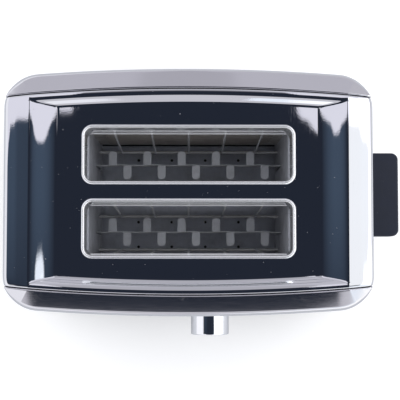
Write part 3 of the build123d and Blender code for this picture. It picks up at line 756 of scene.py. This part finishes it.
# Shares of the way across, closer together towards both sides
OUTER = [0.88, 0.91, 0.94, 0.965, 0.985, 1]
ACROSS = [-share for share in reversed(OUTER)] + [k / 14 for k in range(-12, 13)] + OUTER


def seam_rows(shell):
    """Rows from the rim's flat to the fold's foot: (distance from the middle, sink under the surface)."""
    radius = shell.seam_round
    rows = []
    for step in range(5):
        angle = math.radians(90 * step / 4)
        rows.append((shell.seam - (radius - radius * math.sin(angle)), radius * (1 - math.cos(angle))))
    return rows + [(shell.seam, shell.fold)]


class TOASTER_OT_top_cover(bpy.types.Operator):
    """Presses the top cover: rim, sunken deck, end ramps, end bands and end walls"""
    bl_idname = "toaster.top_cover"
    bl_label = "Top cover"

    def execute(self, context):
        form = Form()
        shell = form.shell
        seam = seam_rows(shell)
        crest = form.wall[-1].x
        columns = 56

        def deck(i, j):
            x = form.ramp_reach(0) * (2 * i / columns - 1)
            reach = bow(form.deck_reach(form.deck), x, shell)
            return at(x, reach * ACROSS[j], form.deck)

        sheets = [skin(columns, len(ACROSS) - 1, deck)]
        for side in (-1, 1):
            def long_wall(i, j):
                z = form.deck + shell.deck_sink * RISES[j]
                x = form.ramp_reach(RISES[j]) * (2 * i / columns - 1)
                return at(x, side * bow(form.deck_reach(z), x, shell), z)

            def end_ramp(i, j):
                z = form.deck + shell.deck_sink * RISES[j]
                x = form.ramp_reach(RISES[j])
                return at(side * x, ACROSS[i] * bow(form.deck_reach(z), x, shell), z)

            def rim(i, j):
                x = shell.crease * (2 * i / columns - 1)
                if j == 0:
                    return at(x, side * bow(crest, x, shell), form.top)
                reach, sink = seam[j - 1]
                return at(x, side * bow(reach, x, shell), form.top - sink)

            across = [(-reach, sink) for reach, sink in reversed(seam)]
            across += [(v, None) for v in ACROSS] + seam

            def end_band(i, j):
                reach, sink = across[i]
                x = form.band[j].x
                if sink is None:
                    y = reach * bow(crest, x, shell)
                else:
                    y = math.copysign(bow(abs(reach), x, shell), reach)
                x, z = form.band_point(j, y)
                if sink:
                    outward = form.band_normal(j)
                    x, z = x - outward.x * sink, z - outward.y * sink
                return at(side * x, y, z)

            sheets.append(skin(columns, len(RISES) - 1, long_wall))
            sheets.append(skin(len(ACROSS) - 1, len(RISES) - 1, end_ramp))
            sheets.append(skin(columns, len(seam), rim))
            sheets.append(skin(len(across) - 1, len(form.band) - 1, end_band))
        cover = join("cover_sheet", sheets)
        self.round_mitres(cover, form)
        self.round_crests(cover, form)
        modify(cover, "SOLIDIFY", thickness=shell.sheet, offset=-1)
        for corner in cover.data.vertices:
            corner.co.z = min(corner.co.z, form.top)
        self.cut_slots(cover, form, context.scene.toaster_fittings)
        self.cut_lever_opening(cover, form)
        smooth(cover, 28)
        hand_over(cover, "housing", "polished_steel", "top_cover")
        return {"FINISHED"}

    def cut_slots(self, cover, form, fitting):
        """Openings in the deck, as wide as the rings' sleeves and a little room."""
        grow = fitting.ring_wall + RING_GAP
        half_x, half_y = fitting.slot_length / 2 + grow, fitting.slot_width / 2 + grow
        corners = ((-1, -1), (-1, 1), (1, -1), (1, 1))
        for _, sign in SLOTS:
            y = sign * fitting.slot_spacing / 2
            low = at(-half_x, y - half_y, form.deck - 4 * MM)
            high = at(half_x, y + half_y, form.top)
            cut(cover, rounded_box(low, high, corners, fitting.slot_corner + grow))

    def cut_lever_opening(self, cover, form):
        """The opening in the right-hand end wall along which the lever's arm goes down."""
        arm_low, arm_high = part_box("lever_arm")
        half = arm_high.y - CENTRE.y + ARM_GAP_BESIDE
        low = at(form.half_length - CUT_PAST, -half, arm_low.z - lever_travel() - ARM_GAP_END)
        high = at(form.half_length + CUT_PAST, half, arm_high.z + ARM_GAP_END)
        cut(cover, rounded_box(low, high))

    def round_mitres(self, cover, form):
        """Rounds the lines where the deck's long walls meet the end ramps, from just above the deck."""
        foot, head = form.deck + 0.06 * MM, form.top + 0.001 * MM
        tolerance = 0.02 * MM

        def on_mitre(corner):
            if not foot < corner.z < head:
                return False
            x, y = abs(corner.x - CENTRE.x), abs(corner.y - CENTRE.y)
            off_ramp = abs(x - form.reach(form.ramp, corner.z))
            off_wall = abs(y - bow(form.deck_reach(corner.z), x, form.shell))
            return off_ramp + off_wall < tolerance

        def both_on_mitre(first, second):
            return on_mitre(first) and on_mitre(second)

        round_edges(cover, both_on_mitre, form.shell.mitre_round, 4)

    def round_crests(self, cover, form):
        """Eases the line where each end ramp meets its end band, fading out towards the rims."""
        shell = form.shell
        rise = form.ramp[-1] - form.ramp[-2]
        fall = form.band[0] - form.band[1]
        kink = rise.y / rise.x - fall.y / fall.x
        fade = 1.5 * MM
        for corner in cover.data.vertices:
            x, y = abs(corner.co.x - CENTRE.x), abs(corner.co.y - CENTRE.y)
            over = shell.crest_round - abs(x - shell.crease)
            inside = bow(form.wall[-1].x, x, shell) - y
            if over > 0 and inside > 0:
                corner.co.z -= kink * over ** 2 / (4 * shell.crest_round) * min(inside / fade, 1)


class TOASTER_OT_wall_panels(bpy.types.Operator):
    """Presses the front and back panels: folded seam edge, sloped shoulder, wall round both corners"""
    bl_idname = "toaster.wall_panels"
    bl_label = "Wall panels"
    # Where the sections start to turn, their least width and their least share of the slope
    straight = 84 * MM
    narrowest = 0.05 * MM
    least_lean = 0.3

    def execute(self, context):
        form = Form()
        shell = form.shell
        reach = shell.seam + shell.seam_gap
        columns = self.seam_line(form, reach)
        for side, name in ((1, "back"), (-1, "front")):
            profiles = [self.profile(form, *column) for column in columns]

            def place(i, j):
                x, y, z = profiles[i][j]
                return at(x, side * y, z)

            panel = join(name + "_panel_sheet", [skin(len(columns) - 1, len(profiles[0]) - 1, place)])
            modify(panel, "SOLIDIFY", thickness=shell.sheet, offset=-1)
            if side < 0:
                self.bore(panel)
            ease(panel, 0.3 * MM, 60)
            smooth(panel, 28)
            hand_over(panel, "housing", "panel_steel", name + "_panel")
        return {"FINISHED"}

    def seam_points(self, form, reach):
        """Points along the right half of the seam, to the crest and down the end band."""
        shell = form.shell
        half = [self.straight * i / 12 for i in range(12)]
        half += [self.straight + (shell.crease - self.straight) * i / 24 for i in range(25)]
        points = [(x, bow(reach, x, shell), form.top) for x in half]
        y = points[-1][1]
        for station in range(1, len(form.band) - 1):
            x, z = form.band_point(station, y)
            y = bow(reach, x, shell)
            x, z = form.band_point(station, y)
            points.append((x, bow(reach, x, shell), z))
        return points

    def sections(self, form, reach):
        """Each seam point with its section's plan direction, which turns to the corner, and width."""
        points = self.seam_points(form, reach)
        end_x, end_y, _ = points[-1]
        last = math.atan2(end_y - form.corner.y, end_x - form.corner.x)
        for x, y, z in points:
            share = max((x - self.straight) / (end_x - self.straight), 0)
            angle = math.pi / 2 + (last - math.pi / 2) * share ** 2
            run = Vector((math.cos(angle), math.sin(angle)))
            yield x, y, z, run, max(self.width(form, x, y, run), self.narrowest)

    def seam_line(self, form, reach):
        """The sections of the whole seam, each with its share of the slope: less where it runs askew."""
        sections = list(self.sections(form, reach))
        columns = []
        for index, (x, y, z, run, wide) in enumerate(sections):
            near, far = sections[max(index - 1, 0)], sections[min(index + 1, len(sections) - 1)]
            level = Vector(far[:2]) + far[3] * far[4] / 2 - Vector(near[:2]) - near[3] * near[4] / 2
            across = Vector((-level.y, level.x)).normalized()
            columns.append((x, y, z, run, wide, max(abs(across.dot(run)), self.least_lean)))
        mirrored = [(-x, y, z, Vector((-run.x, run.y)), wide, lean)
                    for x, y, z, run, wide, lean in reversed(columns[1:])]
        return mirrored + columns

    def width(self, form, x, y, run):
        """How far the outline is from a seam point in a plan direction."""
        low, high = 0.0, 40 * MM
        for _ in range(40):
            middle = (low + high) / 2
            px, py = x + run.x * middle, y + run.y * middle
            inside = abs(px) < form.half_length and py < form.outline(px)
            low, high = (middle, high) if inside else (low, middle)
        return low

    def profile(self, form, x, y, z, run, wide, lean):
        """One section from the fold's foot over the shoulder and down the wall."""
        shell = form.shell
        radii = [min(shell.seam_round, wide * 0.4), min(shell.shoulder_round, wide * 0.45)]
        fall = math.tan(shell.shoulder_slope) * wide * lean
        line = rounded_line([(0, z - shell.fold), (0, z), (wide, z - fall), (wide, form.bottom)], radii, 7)
        low = line[-2].y
        line = line[:-1] + [Vector((wide, low + (form.bottom - low) * k / 4)) for k in range(1, 5)]
        return [(x + run.x * out, y + run.y * out, height) for out, height in line]

    def bore(self, panel):
        """Holes for the browning shaft and the three buttons."""
        wall = CENTRE.y - PANEL_REACH
        holes = [("knob_shaft", SHAFT_HOLE)] + [(name + "_button", BUTTON_HOLE) for name in BUTTONS]
        for node, radius in holes:
            low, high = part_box(node)
            middle = (low + high) / 2
            start = (middle.x, wall - 5 * MM, middle.z)
            cut(panel, drum(start, (middle.x, wall + CUT_PAST, middle.z), radius))


class TOASTER_OT_slot_rings(bpy.types.Operator):
    """Turns the two trim rings: a rounded bead on the deck and a sleeve down into the slot"""
    bl_idname = "toaster.slot_rings"
    bl_label = "Slot rings"

    def execute(self, context):
        fitting = context.scene.toaster_fittings
        for name, _ in SLOTS:
            low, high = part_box("slot_ring_" + name)
            middle = (low + high) / 2
            section = self.section(fitting, low, high)
            spots = rounded_outline(fitting.slot_length / 2, fitting.slot_width / 2, fitting.slot_corner)

            def place(i, j):
                spot, out = spots[i % len(spots)]
                across, z = section[j]
                x, y = middle.x + spot.x + out.x * across, middle.y + spot.y + out.y * across
                return Vector((x, y, z))

            ring = join("ring_bead_" + name, [skin(len(spots), len(section) - 1, place)])
            smooth(ring, 40)
            hand_over(ring, "housing", "ring_chrome", "slot_ring_" + name)
        return {"FINISHED"}

    def section(self, fitting, low, high):
        """A ring's section as (distance out from the slot, height): bead, sleeve and back to the bead."""
        deck = high.z - 1.5 * MM
        lip = (high.y - low.y) / 2 - fitting.slot_width / 2
        inner = lip - fitting.bead
        line = []
        for step in range(13):
            angle = math.pi * step / 12
            across = (lip + inner) / 2 + math.cos(angle) * fitting.bead / 2
            line.append((across, deck + (high.z - deck) * math.sin(angle) ** 1.3))
        line += [(0.0, deck - 0.6 * MM), (0.0, deck - 8 * MM), (0.0, low.z + 0.3 * MM),
                 (0.3 * MM, low.z), (fitting.ring_wall, low.z)]
        return line + [(fitting.ring_wall, deck - 1.4 * MM), (fitting.ring_wall, deck), line[0]]


class TOASTER_OT_browning_knob(bpy.types.Operator):
    """Turns the browning knob: a hollow drum with a rounded edge, a dished face and a pointer groove"""
    bl_idname = "toaster.browning_knob"
    bl_label = "Browning knob"

    def execute(self, context):
        fitting = context.scene.toaster_fittings
        low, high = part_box("browning_knob")
        middle = (low + high) / 2
        radius = (high.x - low.x) / 2
        back = high.y - low.y
        dish, web, bore_end = 0.9 * MM, 5 * MM, 4.2 * MM
        skirt, hub, bore = radius - 2 * MM, 4.6 * MM, 3.1 * MM
        points = [(0.0, dish), (radius - 3.2 * MM, dish), (radius - 2.4 * MM, 0.0), (radius, 0.0),
                  (radius, back), (skirt, back), (skirt, web), (hub, web), (hub, back), (bore, back),
                  (bore, bore_end), (0.0, bore_end)]
        radii = [0.8 * MM, 0.5 * MM, fitting.knob_edge, 0.4 * MM, 0.2 * MM, 0.5 * MM, 0.5 * MM, 0.2 * MM,
                 0.2 * MM, 0]
        outline = rounded_line(points, radii, 4)
        sides = 96

        def place(i, j):
            angle = 2 * math.pi * i / sides
            out, deep = outline[j]
            x, z = middle.x + math.cos(angle) * out, middle.z + math.sin(angle) * out
            return Vector((x, low.y + deep, z))

        knob = join("knob_drum", [skin(sides, len(outline) - 1, place)])
        groove_low = (middle.x - 0.6 * MM, low.y - 1 * MM, middle.z + 3 * MM)
        groove_high = (middle.x + 0.6 * MM, low.y + 1.5 * MM, middle.z + radius - 4 * MM)
        cut(knob, rounded_box(groove_low, groove_high))
        smooth(knob, 32)
        hand_over(knob, "browning_control", "knob_chrome", "browning_knob")
        return {"FINISHED"}


class TOASTER_OT_lever_grip(bpy.types.Operator):
    """Moulds the lever's finger grip with rounded outer corners and an eased upper edge"""
    bl_idname = "toaster.lever_grip"
    bl_label = "Lever grip"

    def execute(self, context):
        fitting = context.scene.toaster_fittings
        low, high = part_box("lever_grip")
        grip = rounded_box(low, high, ((1, -1), (1, 1)), fitting.grip_corner, segments=8)
        ease(grip, 1.3 * MM, 50, 4)
        arm_low, arm_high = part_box("lever_arm")
        cut(grip, rounded_box((low.x - 2 * MM, arm_low.y, arm_low.z), arm_high))
        settle(grip, "grip_moulding")
        smooth(grip, 32)
        hand_over(grip, "carriage", "grip_plastic", "lever_grip")
        return {"FINISHED"}


class TOASTER_OT_bread_racks(bpy.types.Operator):
    """Bends the two bread racks: a wavy upright strip with rounded tabs to both sides"""
    bl_idname = "toaster.bread_racks"
    bl_label = "Bread racks"
    # Half the strip's sheet, the middle tab of the back row and how far along the front row stands
    half_sheet = 0.5 * MM
    first_tab = -5.7 * MM
    tab_shift = 11.7 * MM

    def execute(self, context):
        for name, _ in SLOTS:
            low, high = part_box("bread_rack_" + name)
            pieces = [self.strip(low, high), *self.end_strips(low, high), *self.tabs(low, high)]
            rack = join("rack_strip_" + name, pieces, 0)
            smooth(rack, 32)
            hand_over(rack, "carriage", "rack_steel", "bread_rack_" + name)
        return {"FINISHED"}

    def strip(self, low, high):
        """The upright strip, slightly wavy from tab to tab, with an eased upper edge."""
        pitch = bpy.context.scene.toaster_fittings.wire_pitch
        middle = (low.y + high.y) / 2
        half, eased = self.half_sheet, 0.42 * MM
        columns = 160
        loop = ((-half, low.z), (half, low.z), (half, high.z - eased), (half - eased, high.z),
                (eased - half, high.z), (-half, high.z - eased), (-half, low.z))

        def spine(i, j):
            x = low.x + (high.x - low.x) * i / columns
            wave = math.sin((x - CENTRE.x - self.first_tab) / pitch * 2 * math.pi) * 0.28 * MM
            across, z = loop[j]
            return Vector((x, middle + wave + across, z))

        return skin(columns, len(loop) - 1, spine)

    def end_strips(self, low, high):
        """The two short pieces that close the strip's ends."""
        middle, wide = (low.y + high.y) / 2, 0.4 * MM
        for start in (low.x, high.x - wide):
            yield rounded_box((start, middle - self.half_sheet, low.z),
                              (start + wide, middle + self.half_sheet, high.z), edge=0.1 * MM)

    def tabs(self, low, high):
        """Five rounded tabs to each side, those in front shifted along the strip."""
        fitting = bpy.context.scene.toaster_fittings
        middle, wide = (low.y + high.y) / 2, fitting.tab_width / 2
        for side, start in ((1, self.first_tab), (-1, self.first_tab + self.tab_shift)):
            near, far = sorted((middle + side * 0.3 * MM, middle + side * fitting.tab_reach))
            for index in range(5):
                x = CENTRE.x + start + (index - 2) * fitting.wire_pitch
                yield rounded_box((x - wide, near, high.z - 1 * MM), (x + wide, far, high.z),
                                  ((-1, side), (1, side)), wide - 0.3 * MM, 0.25 * MM, 8)


class TOASTER_OT_bread_guards(bpy.types.Operator):
    """Bends the four wire bread guards: two long rods and five upright wires hooked over the upper"""
    bl_idname = "toaster.bread_guards"
    bl_label = "Bread guards"
    # How far the rods are from the slot's middle, and how much shorter the upper one is at each end
    foot_out = 14.0 * MM
    head_out = 18.8 * MM
    head_short = 3.4 * MM

    def execute(self, context):
        for name, sign in SLOTS:
            for place, side in (("rear", 1), ("fore", -1)):
                self.guard("%s_%s" % (name, place), sign, side)
        return {"FINISHED"}

    def guard(self, name, sign, side):
        """One guard, which leans out from its foot to its head."""
        fitting = bpy.context.scene.toaster_fittings
        low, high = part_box("bread_guard_" + name)
        middle = sign * fitting.slot_spacing / 2
        foot = at(0, middle + side * self.foot_out, low.z + fitting.rod)
        head = at(0, middle + side * self.head_out, high.z - fitting.rod)
        rise = (head - foot).normalized()
        out = Vector((0, side * rise.z, -rise.y))
        half = Vector(((high.x - low.x) / 2, 0, 0))
        short = Vector(((high.x - low.x) / 2 - self.head_short, 0, 0))
        pieces = [drum(foot - half, foot + half, fitting.rod, 20),
                  drum(head - short, head + short, fitting.rod * 0.8, 20)]
        for index in range(5):
            along = Vector(((index - 2) * fitting.wire_pitch, 0, 0))
            pieces.append(bent_wire(self.wire_line(foot + along, head + along, rise, out), fitting.wire))
        guard = join("guard_wires_" + name, pieces, 0)
        smooth(guard, 50)
        hand_over(guard, "guard_" + name, "wire_steel", "bread_guard_" + name)

    def wire_line(self, foot, head, rise, out):
        """An upright wire from the lower rod, inside the upper one and hooked over it."""
        back = -out * 0.6 * MM
        line = [foot + back, foot + back + rise * 8 * MM]
        line += [head + back - rise * share * 20 * MM for share in (4, 3, 2, 1)]
        line += [head + back - rise * 3 * MM, head + back - rise * 0.2 * MM]
        line.append(head + out * 0.3 * MM + rise * 0.4 * MM)
        return line + [head + out * 1.1 * MM - rise * fall * MM for fall in (0.6, 3)]


class TOASTER_OT_crumb_tray(bpy.types.Operator):
    """Eases the crumb tray's pressed edges and moulds its pull"""
    bl_idname = "toaster.crumb_tray"
    bl_label = "Crumb tray"

    def execute(self, context):
        tray = dressed_copy("crumb_tray", 0.35 * MM, "tray_pan", 50)
        hand_over(tray, "tray", "tray_steel", "crumb_tray")
        pull = dressed_copy("tray_pull", 0.6 * MM, "tray_pull_moulding")
        hand_over(pull, "tray", "black_plastic", "tray_pull")
        return {"FINISHED"}


class TOASTER_OT_base(bpy.types.Operator):
    """Moulds the base tub, the four feet and the mains inlet"""
    bl_idname = "toaster.base"
    bl_label = "Base, feet and inlet"

    def execute(self, context):
        for node, edge, slot in (("base", 0.5, "black_plastic"), ("rubber_feet", 0.5, "rubber"),
                                 ("cord_inlet", 0.3, "black_plastic")):
            piece = dressed_copy(node, edge * MM)
            hand_over(piece, "housing", slot, node)
        return {"FINISHED"}


class TOASTER_OT_buttons(bpy.types.Operator):
    """Moulds the three push buttons"""
    bl_idname = "toaster.buttons"
    bl_label = "Buttons"

    def execute(self, context):
        for name in BUTTONS:
            piece = dressed_copy(name + "_button", 0.25 * MM)
            hand_over(piece, name, "button_plastic", name + "_button")
        return {"FINISHED"}


class TOASTER_OT_inner_works(bpy.types.Operator):
    """Gives the chassis, elements, carriage and electrics their finishes"""
    bl_idname = "toaster.inner_works"
    bl_label = "Inner works"

    def execute(self, context):
        for entry in frame["record"]["subparts"]:
            node = frame["nodes"][entry["node"]]
            if node.hide_render:
                continue
            node.data.materials.clear()
            node.data.materials.append(finish(entry["material_slot"]))
        return {"FINISHED"}


class TOASTER_OT_return_spring(bpy.types.Operator):
    """Dresses the return spring's coil in bright steel; the carriage presses the spring together on its way down,
    which this coil does not follow
    """
    bl_idname = "toaster.return_spring"
    bl_label = "Return spring"

    def execute(self, context):
        low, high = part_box("return_spring")
        coil = dressed_copy("return_spring", 0.0, "spring_coil")
        hand_over(coil, "housing", "bright_steel", "return_spring")
        1 - lever_travel() / (high.z - low.z)
        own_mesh(coil)
        return {"FINISHED"}


class TOASTER_OT_stage(bpy.types.Operator):
    """Sets the pale floor, the soft light, the surroundings and the camera"""
    bl_idname = "toaster.stage"
    bl_label = "Stage"

    def execute(self, context):
        self.floor(context)
        self.surroundings(context.scene)
        self.lamp("lamp_left", at(-1.6, 0.9, 2.2), (1.8, 1.8), 10.0, False)
        self.lamp("lamp_right", at(1.206, 0.330, 1.035), (1.3, 1.5), 6.4, True)
        self.camera(context)
        context.scene.view_settings.view_transform = "Standard"
        return {"FINISHED"}

    def floor(self, context):
        """A pale floor that keeps the object's shadow and looks nearly white to the camera."""
        clear_selection()
        bpy.ops.mesh.primitive_plane_add(size=8, location=(0, 0, 0))
        floor = settle(context.object, "pale_floor")
        ground = Finish("floor_finish", Roughness=0.9, Emission_Strength=0.16)
        seen = ground.node("ShaderNodeLightPath", output="Is Camera Ray")
        ground.feed(Base_Color=ground.blend(seen, (0.62, 0.63, 0.66), (0.97, 0.97, 0.97)),
                    Emission_Color=ground.blend(seen, (0.0, 0.0, 0.0), (1.0, 1.0, 1.0)))
        floor.data.materials.append(ground.material)

    def camera(self, context):
        """A camera nearly straight above the toaster, a little in front of its middle."""
        bpy.ops.object.camera_add(location=at(-0.0006, -0.0518, 0.990),
                                  rotation=(math.radians(3.24), math.radians(-0.63), 0))
        camera = context.object
        camera.name = "view_camera"
        camera.data.lens = 99.5
        camera.data.sensor_width = 36.0
        camera.data.clip_start = 0.01
        context.scene.camera = camera

    def lamp(self, name, place, size, power, seen):
        """A wide soft lamp; one that polished metal sees hangs level, turned a little about Z."""
        clear_selection()
        bpy.ops.object.light_add(type="AREA", location=place)
        lamp = bpy.context.object
        lamp.name = name
        lamp.data.shape = "RECTANGLE"
        lamp.data.size, lamp.data.size_y = size
        lamp.data.energy = power
        lamp.visible_glossy = seen
        if seen:
            lamp.rotation_euler = (0, 0, math.radians(-25))
        else:
            lamp.rotation_euler = (-Vector(place)).to_track_quat("-Z", "Y").to_euler()

    def surroundings(self, scene):
        """Pale all round to the camera and to matt surfaces, and a room to polished metal."""
        world = bpy.data.worlds.new("room")
        scene.world = world
        world.use_nodes = True
        world.node_tree.nodes.clear()
        room = Surface(world.node_tree)
        picture = self.mirrored_room(room)
        path = room.node("ShaderNodeLightPath").socket.node
        camera, glossy, clear = (Wire(room, path.outputs[ray + " Ray"])
                                 for ray in ("Is Camera", "Is Glossy", "Is Transmission"))
        even = room.blend(camera, (0.92, 0.93, 0.96), (1.0, 1.0, 1.0))
        light = room.blend((glossy + clear) * (1 - camera), even, picture)
        background = room.node("ShaderNodeBackground", {}, {"Color": light, "Strength": 1.0})
        room.node("ShaderNodeOutputWorld", {}, {"Surface": background}, None)

    def mirrored_room(self, room):
        """A dark ceiling between a soft box behind, a pale room in front and pale walls to both sides."""
        x, y, z = room.axes(room.node("ShaderNodeTexCoord", output="Generated"))
        # Degrees from straight up: to the right, and to the back
        side = x.math("ARCTAN2", x, z) * (180 / math.pi)
        deep = y.math("ARCTAN2", y, z) * (180 / math.pi)
        to_left, to_front = 0 - side, 0 - deep

        zenith, ceiling_edge = (0.019, 0.024, 0.038), (0.062, 0.089, 0.134)
        picture = room.blend(abs(side).step(13, 27) * deep.step(-8, 5), zenith, ceiling_edge)

        # The soft box starts sharply to both sides of its boom and fades in behind it
        clear_of_boom = side.step(5.45, 5.75) + to_left.step(5.75, 6.05)
        back_edge = 9.0 - clear_of_boom * 1.4 - side.step(18, 27) * 1.1 - to_left.step(23, 29) * 1.1
        notch = side.step(5.6, 6.0) * 0.4 + side.step(6.1, 6.8) * 0.7
        back_edge = back_edge - notch * (1 - side.step(7.0, 7.6))
        soft_box = (deep - back_edge).step(0.0, 9.0 - clear_of_boom * 8.6)
        glow = clear_of_boom * (1 - deep.step(14, 50) * 0.75) * 0.37 + 0.5
        picture = room.blend(soft_box, picture, room.shade((1.0, 0.985, 1.09), glow))

        # The pale room in front reaches higher up towards both sides
        front_edge = 50.0 - (to_left.step(17, 32) + side.step(12, 26)) * 9.0
        picture = room.blend((to_front - front_edge).step(-2, 2), picture, (0.66, 0.65, 0.70))

        # Both walls stand nearer towards the front
        left_wall = (to_left + to_front.step(5.5, 8.5) * 14).step(36, 46)
        picture = room.blend(left_wall, picture, (1.0, 1.0, 1.05))

        near = (1 - deep.step(-1, 3)) * 3.2 + (1 - deep.step(-9, -2)) * 2.4
        rear = deep.step(1.8, 2.6)
        wall = room.blend(rear, (1.0, 1.06, 1.15), (0.96, 0.94, 0.97))
        wall = room.blend(side.step(33, 37) * (1 - rear), wall, (1.3, 1.3, 1.3))
        wall = room.blend(deep.step(15, 30), wall, (0.62, 0.61, 0.66))
        picture = room.blend((side + near).step(27.0, 28.2), picture, wall)

        below_horizon = (0.66, 0.67, 0.69)
        return room.blend(z > 0.0, below_horizon, picture)


class TOASTER_PT_panel(bpy.types.Panel):
    """Lists the toaster's sizes, colours and pieces"""
    bl_idname = "TOASTER_PT_panel"
    bl_label = "Toaster"
    bl_space_type = "VIEW_3D"
    bl_region_type = "UI"
    bl_category = "Toaster"

    def draw(self, context):
        for name, _ in GROUPS:
            group = getattr(context.scene, name)
            box = self.layout.box()
            for key in type(group).__annotations__:
                box.prop(group, key)
        for step in STEPS:
            self.layout.operator(step.bl_idname)


STEPS = (TOASTER_OT_top_cover, TOASTER_OT_wall_panels, TOASTER_OT_slot_rings, TOASTER_OT_browning_knob,
         TOASTER_OT_lever_grip, TOASTER_OT_bread_racks, TOASTER_OT_bread_guards, TOASTER_OT_crumb_tray,
         TOASTER_OT_base, TOASTER_OT_buttons, TOASTER_OT_return_spring, TOASTER_OT_inner_works,
         TOASTER_OT_stage)
GROUPS = (("toaster_shell", ShellSizes), ("toaster_fittings", FittingSizes),
          ("toaster_colours", FinishColours))


def register():
    """Registers the classes and adds the settings to the scene."""
    for _, group in GROUPS:
        bpy.utils.register_class(group)
    for step in STEPS:
        bpy.utils.register_class(step)
    bpy.utils.register_class(TOASTER_PT_panel)
    for key, group in GROUPS:
        setattr(bpy.types.Scene, key, bpy.props.PointerProperty(type=group))


def unregister():
    """Takes the settings and classes away again."""
    for key, _ in GROUPS:
        delattr(bpy.types.Scene, key)
    bpy.utils.unregister_class(TOASTER_PT_panel)
    for step in reversed(STEPS):
        bpy.utils.unregister_class(step)
    for _, group in reversed(GROUPS):
        bpy.utils.unregister_class(group)


def main():
    register()
    for step in STEPS:
        area, name = step.bl_idname.split(".")
        getattr(getattr(bpy.ops, area), name)()
    clear_selection()


if __name__ == "__main__":
    main()
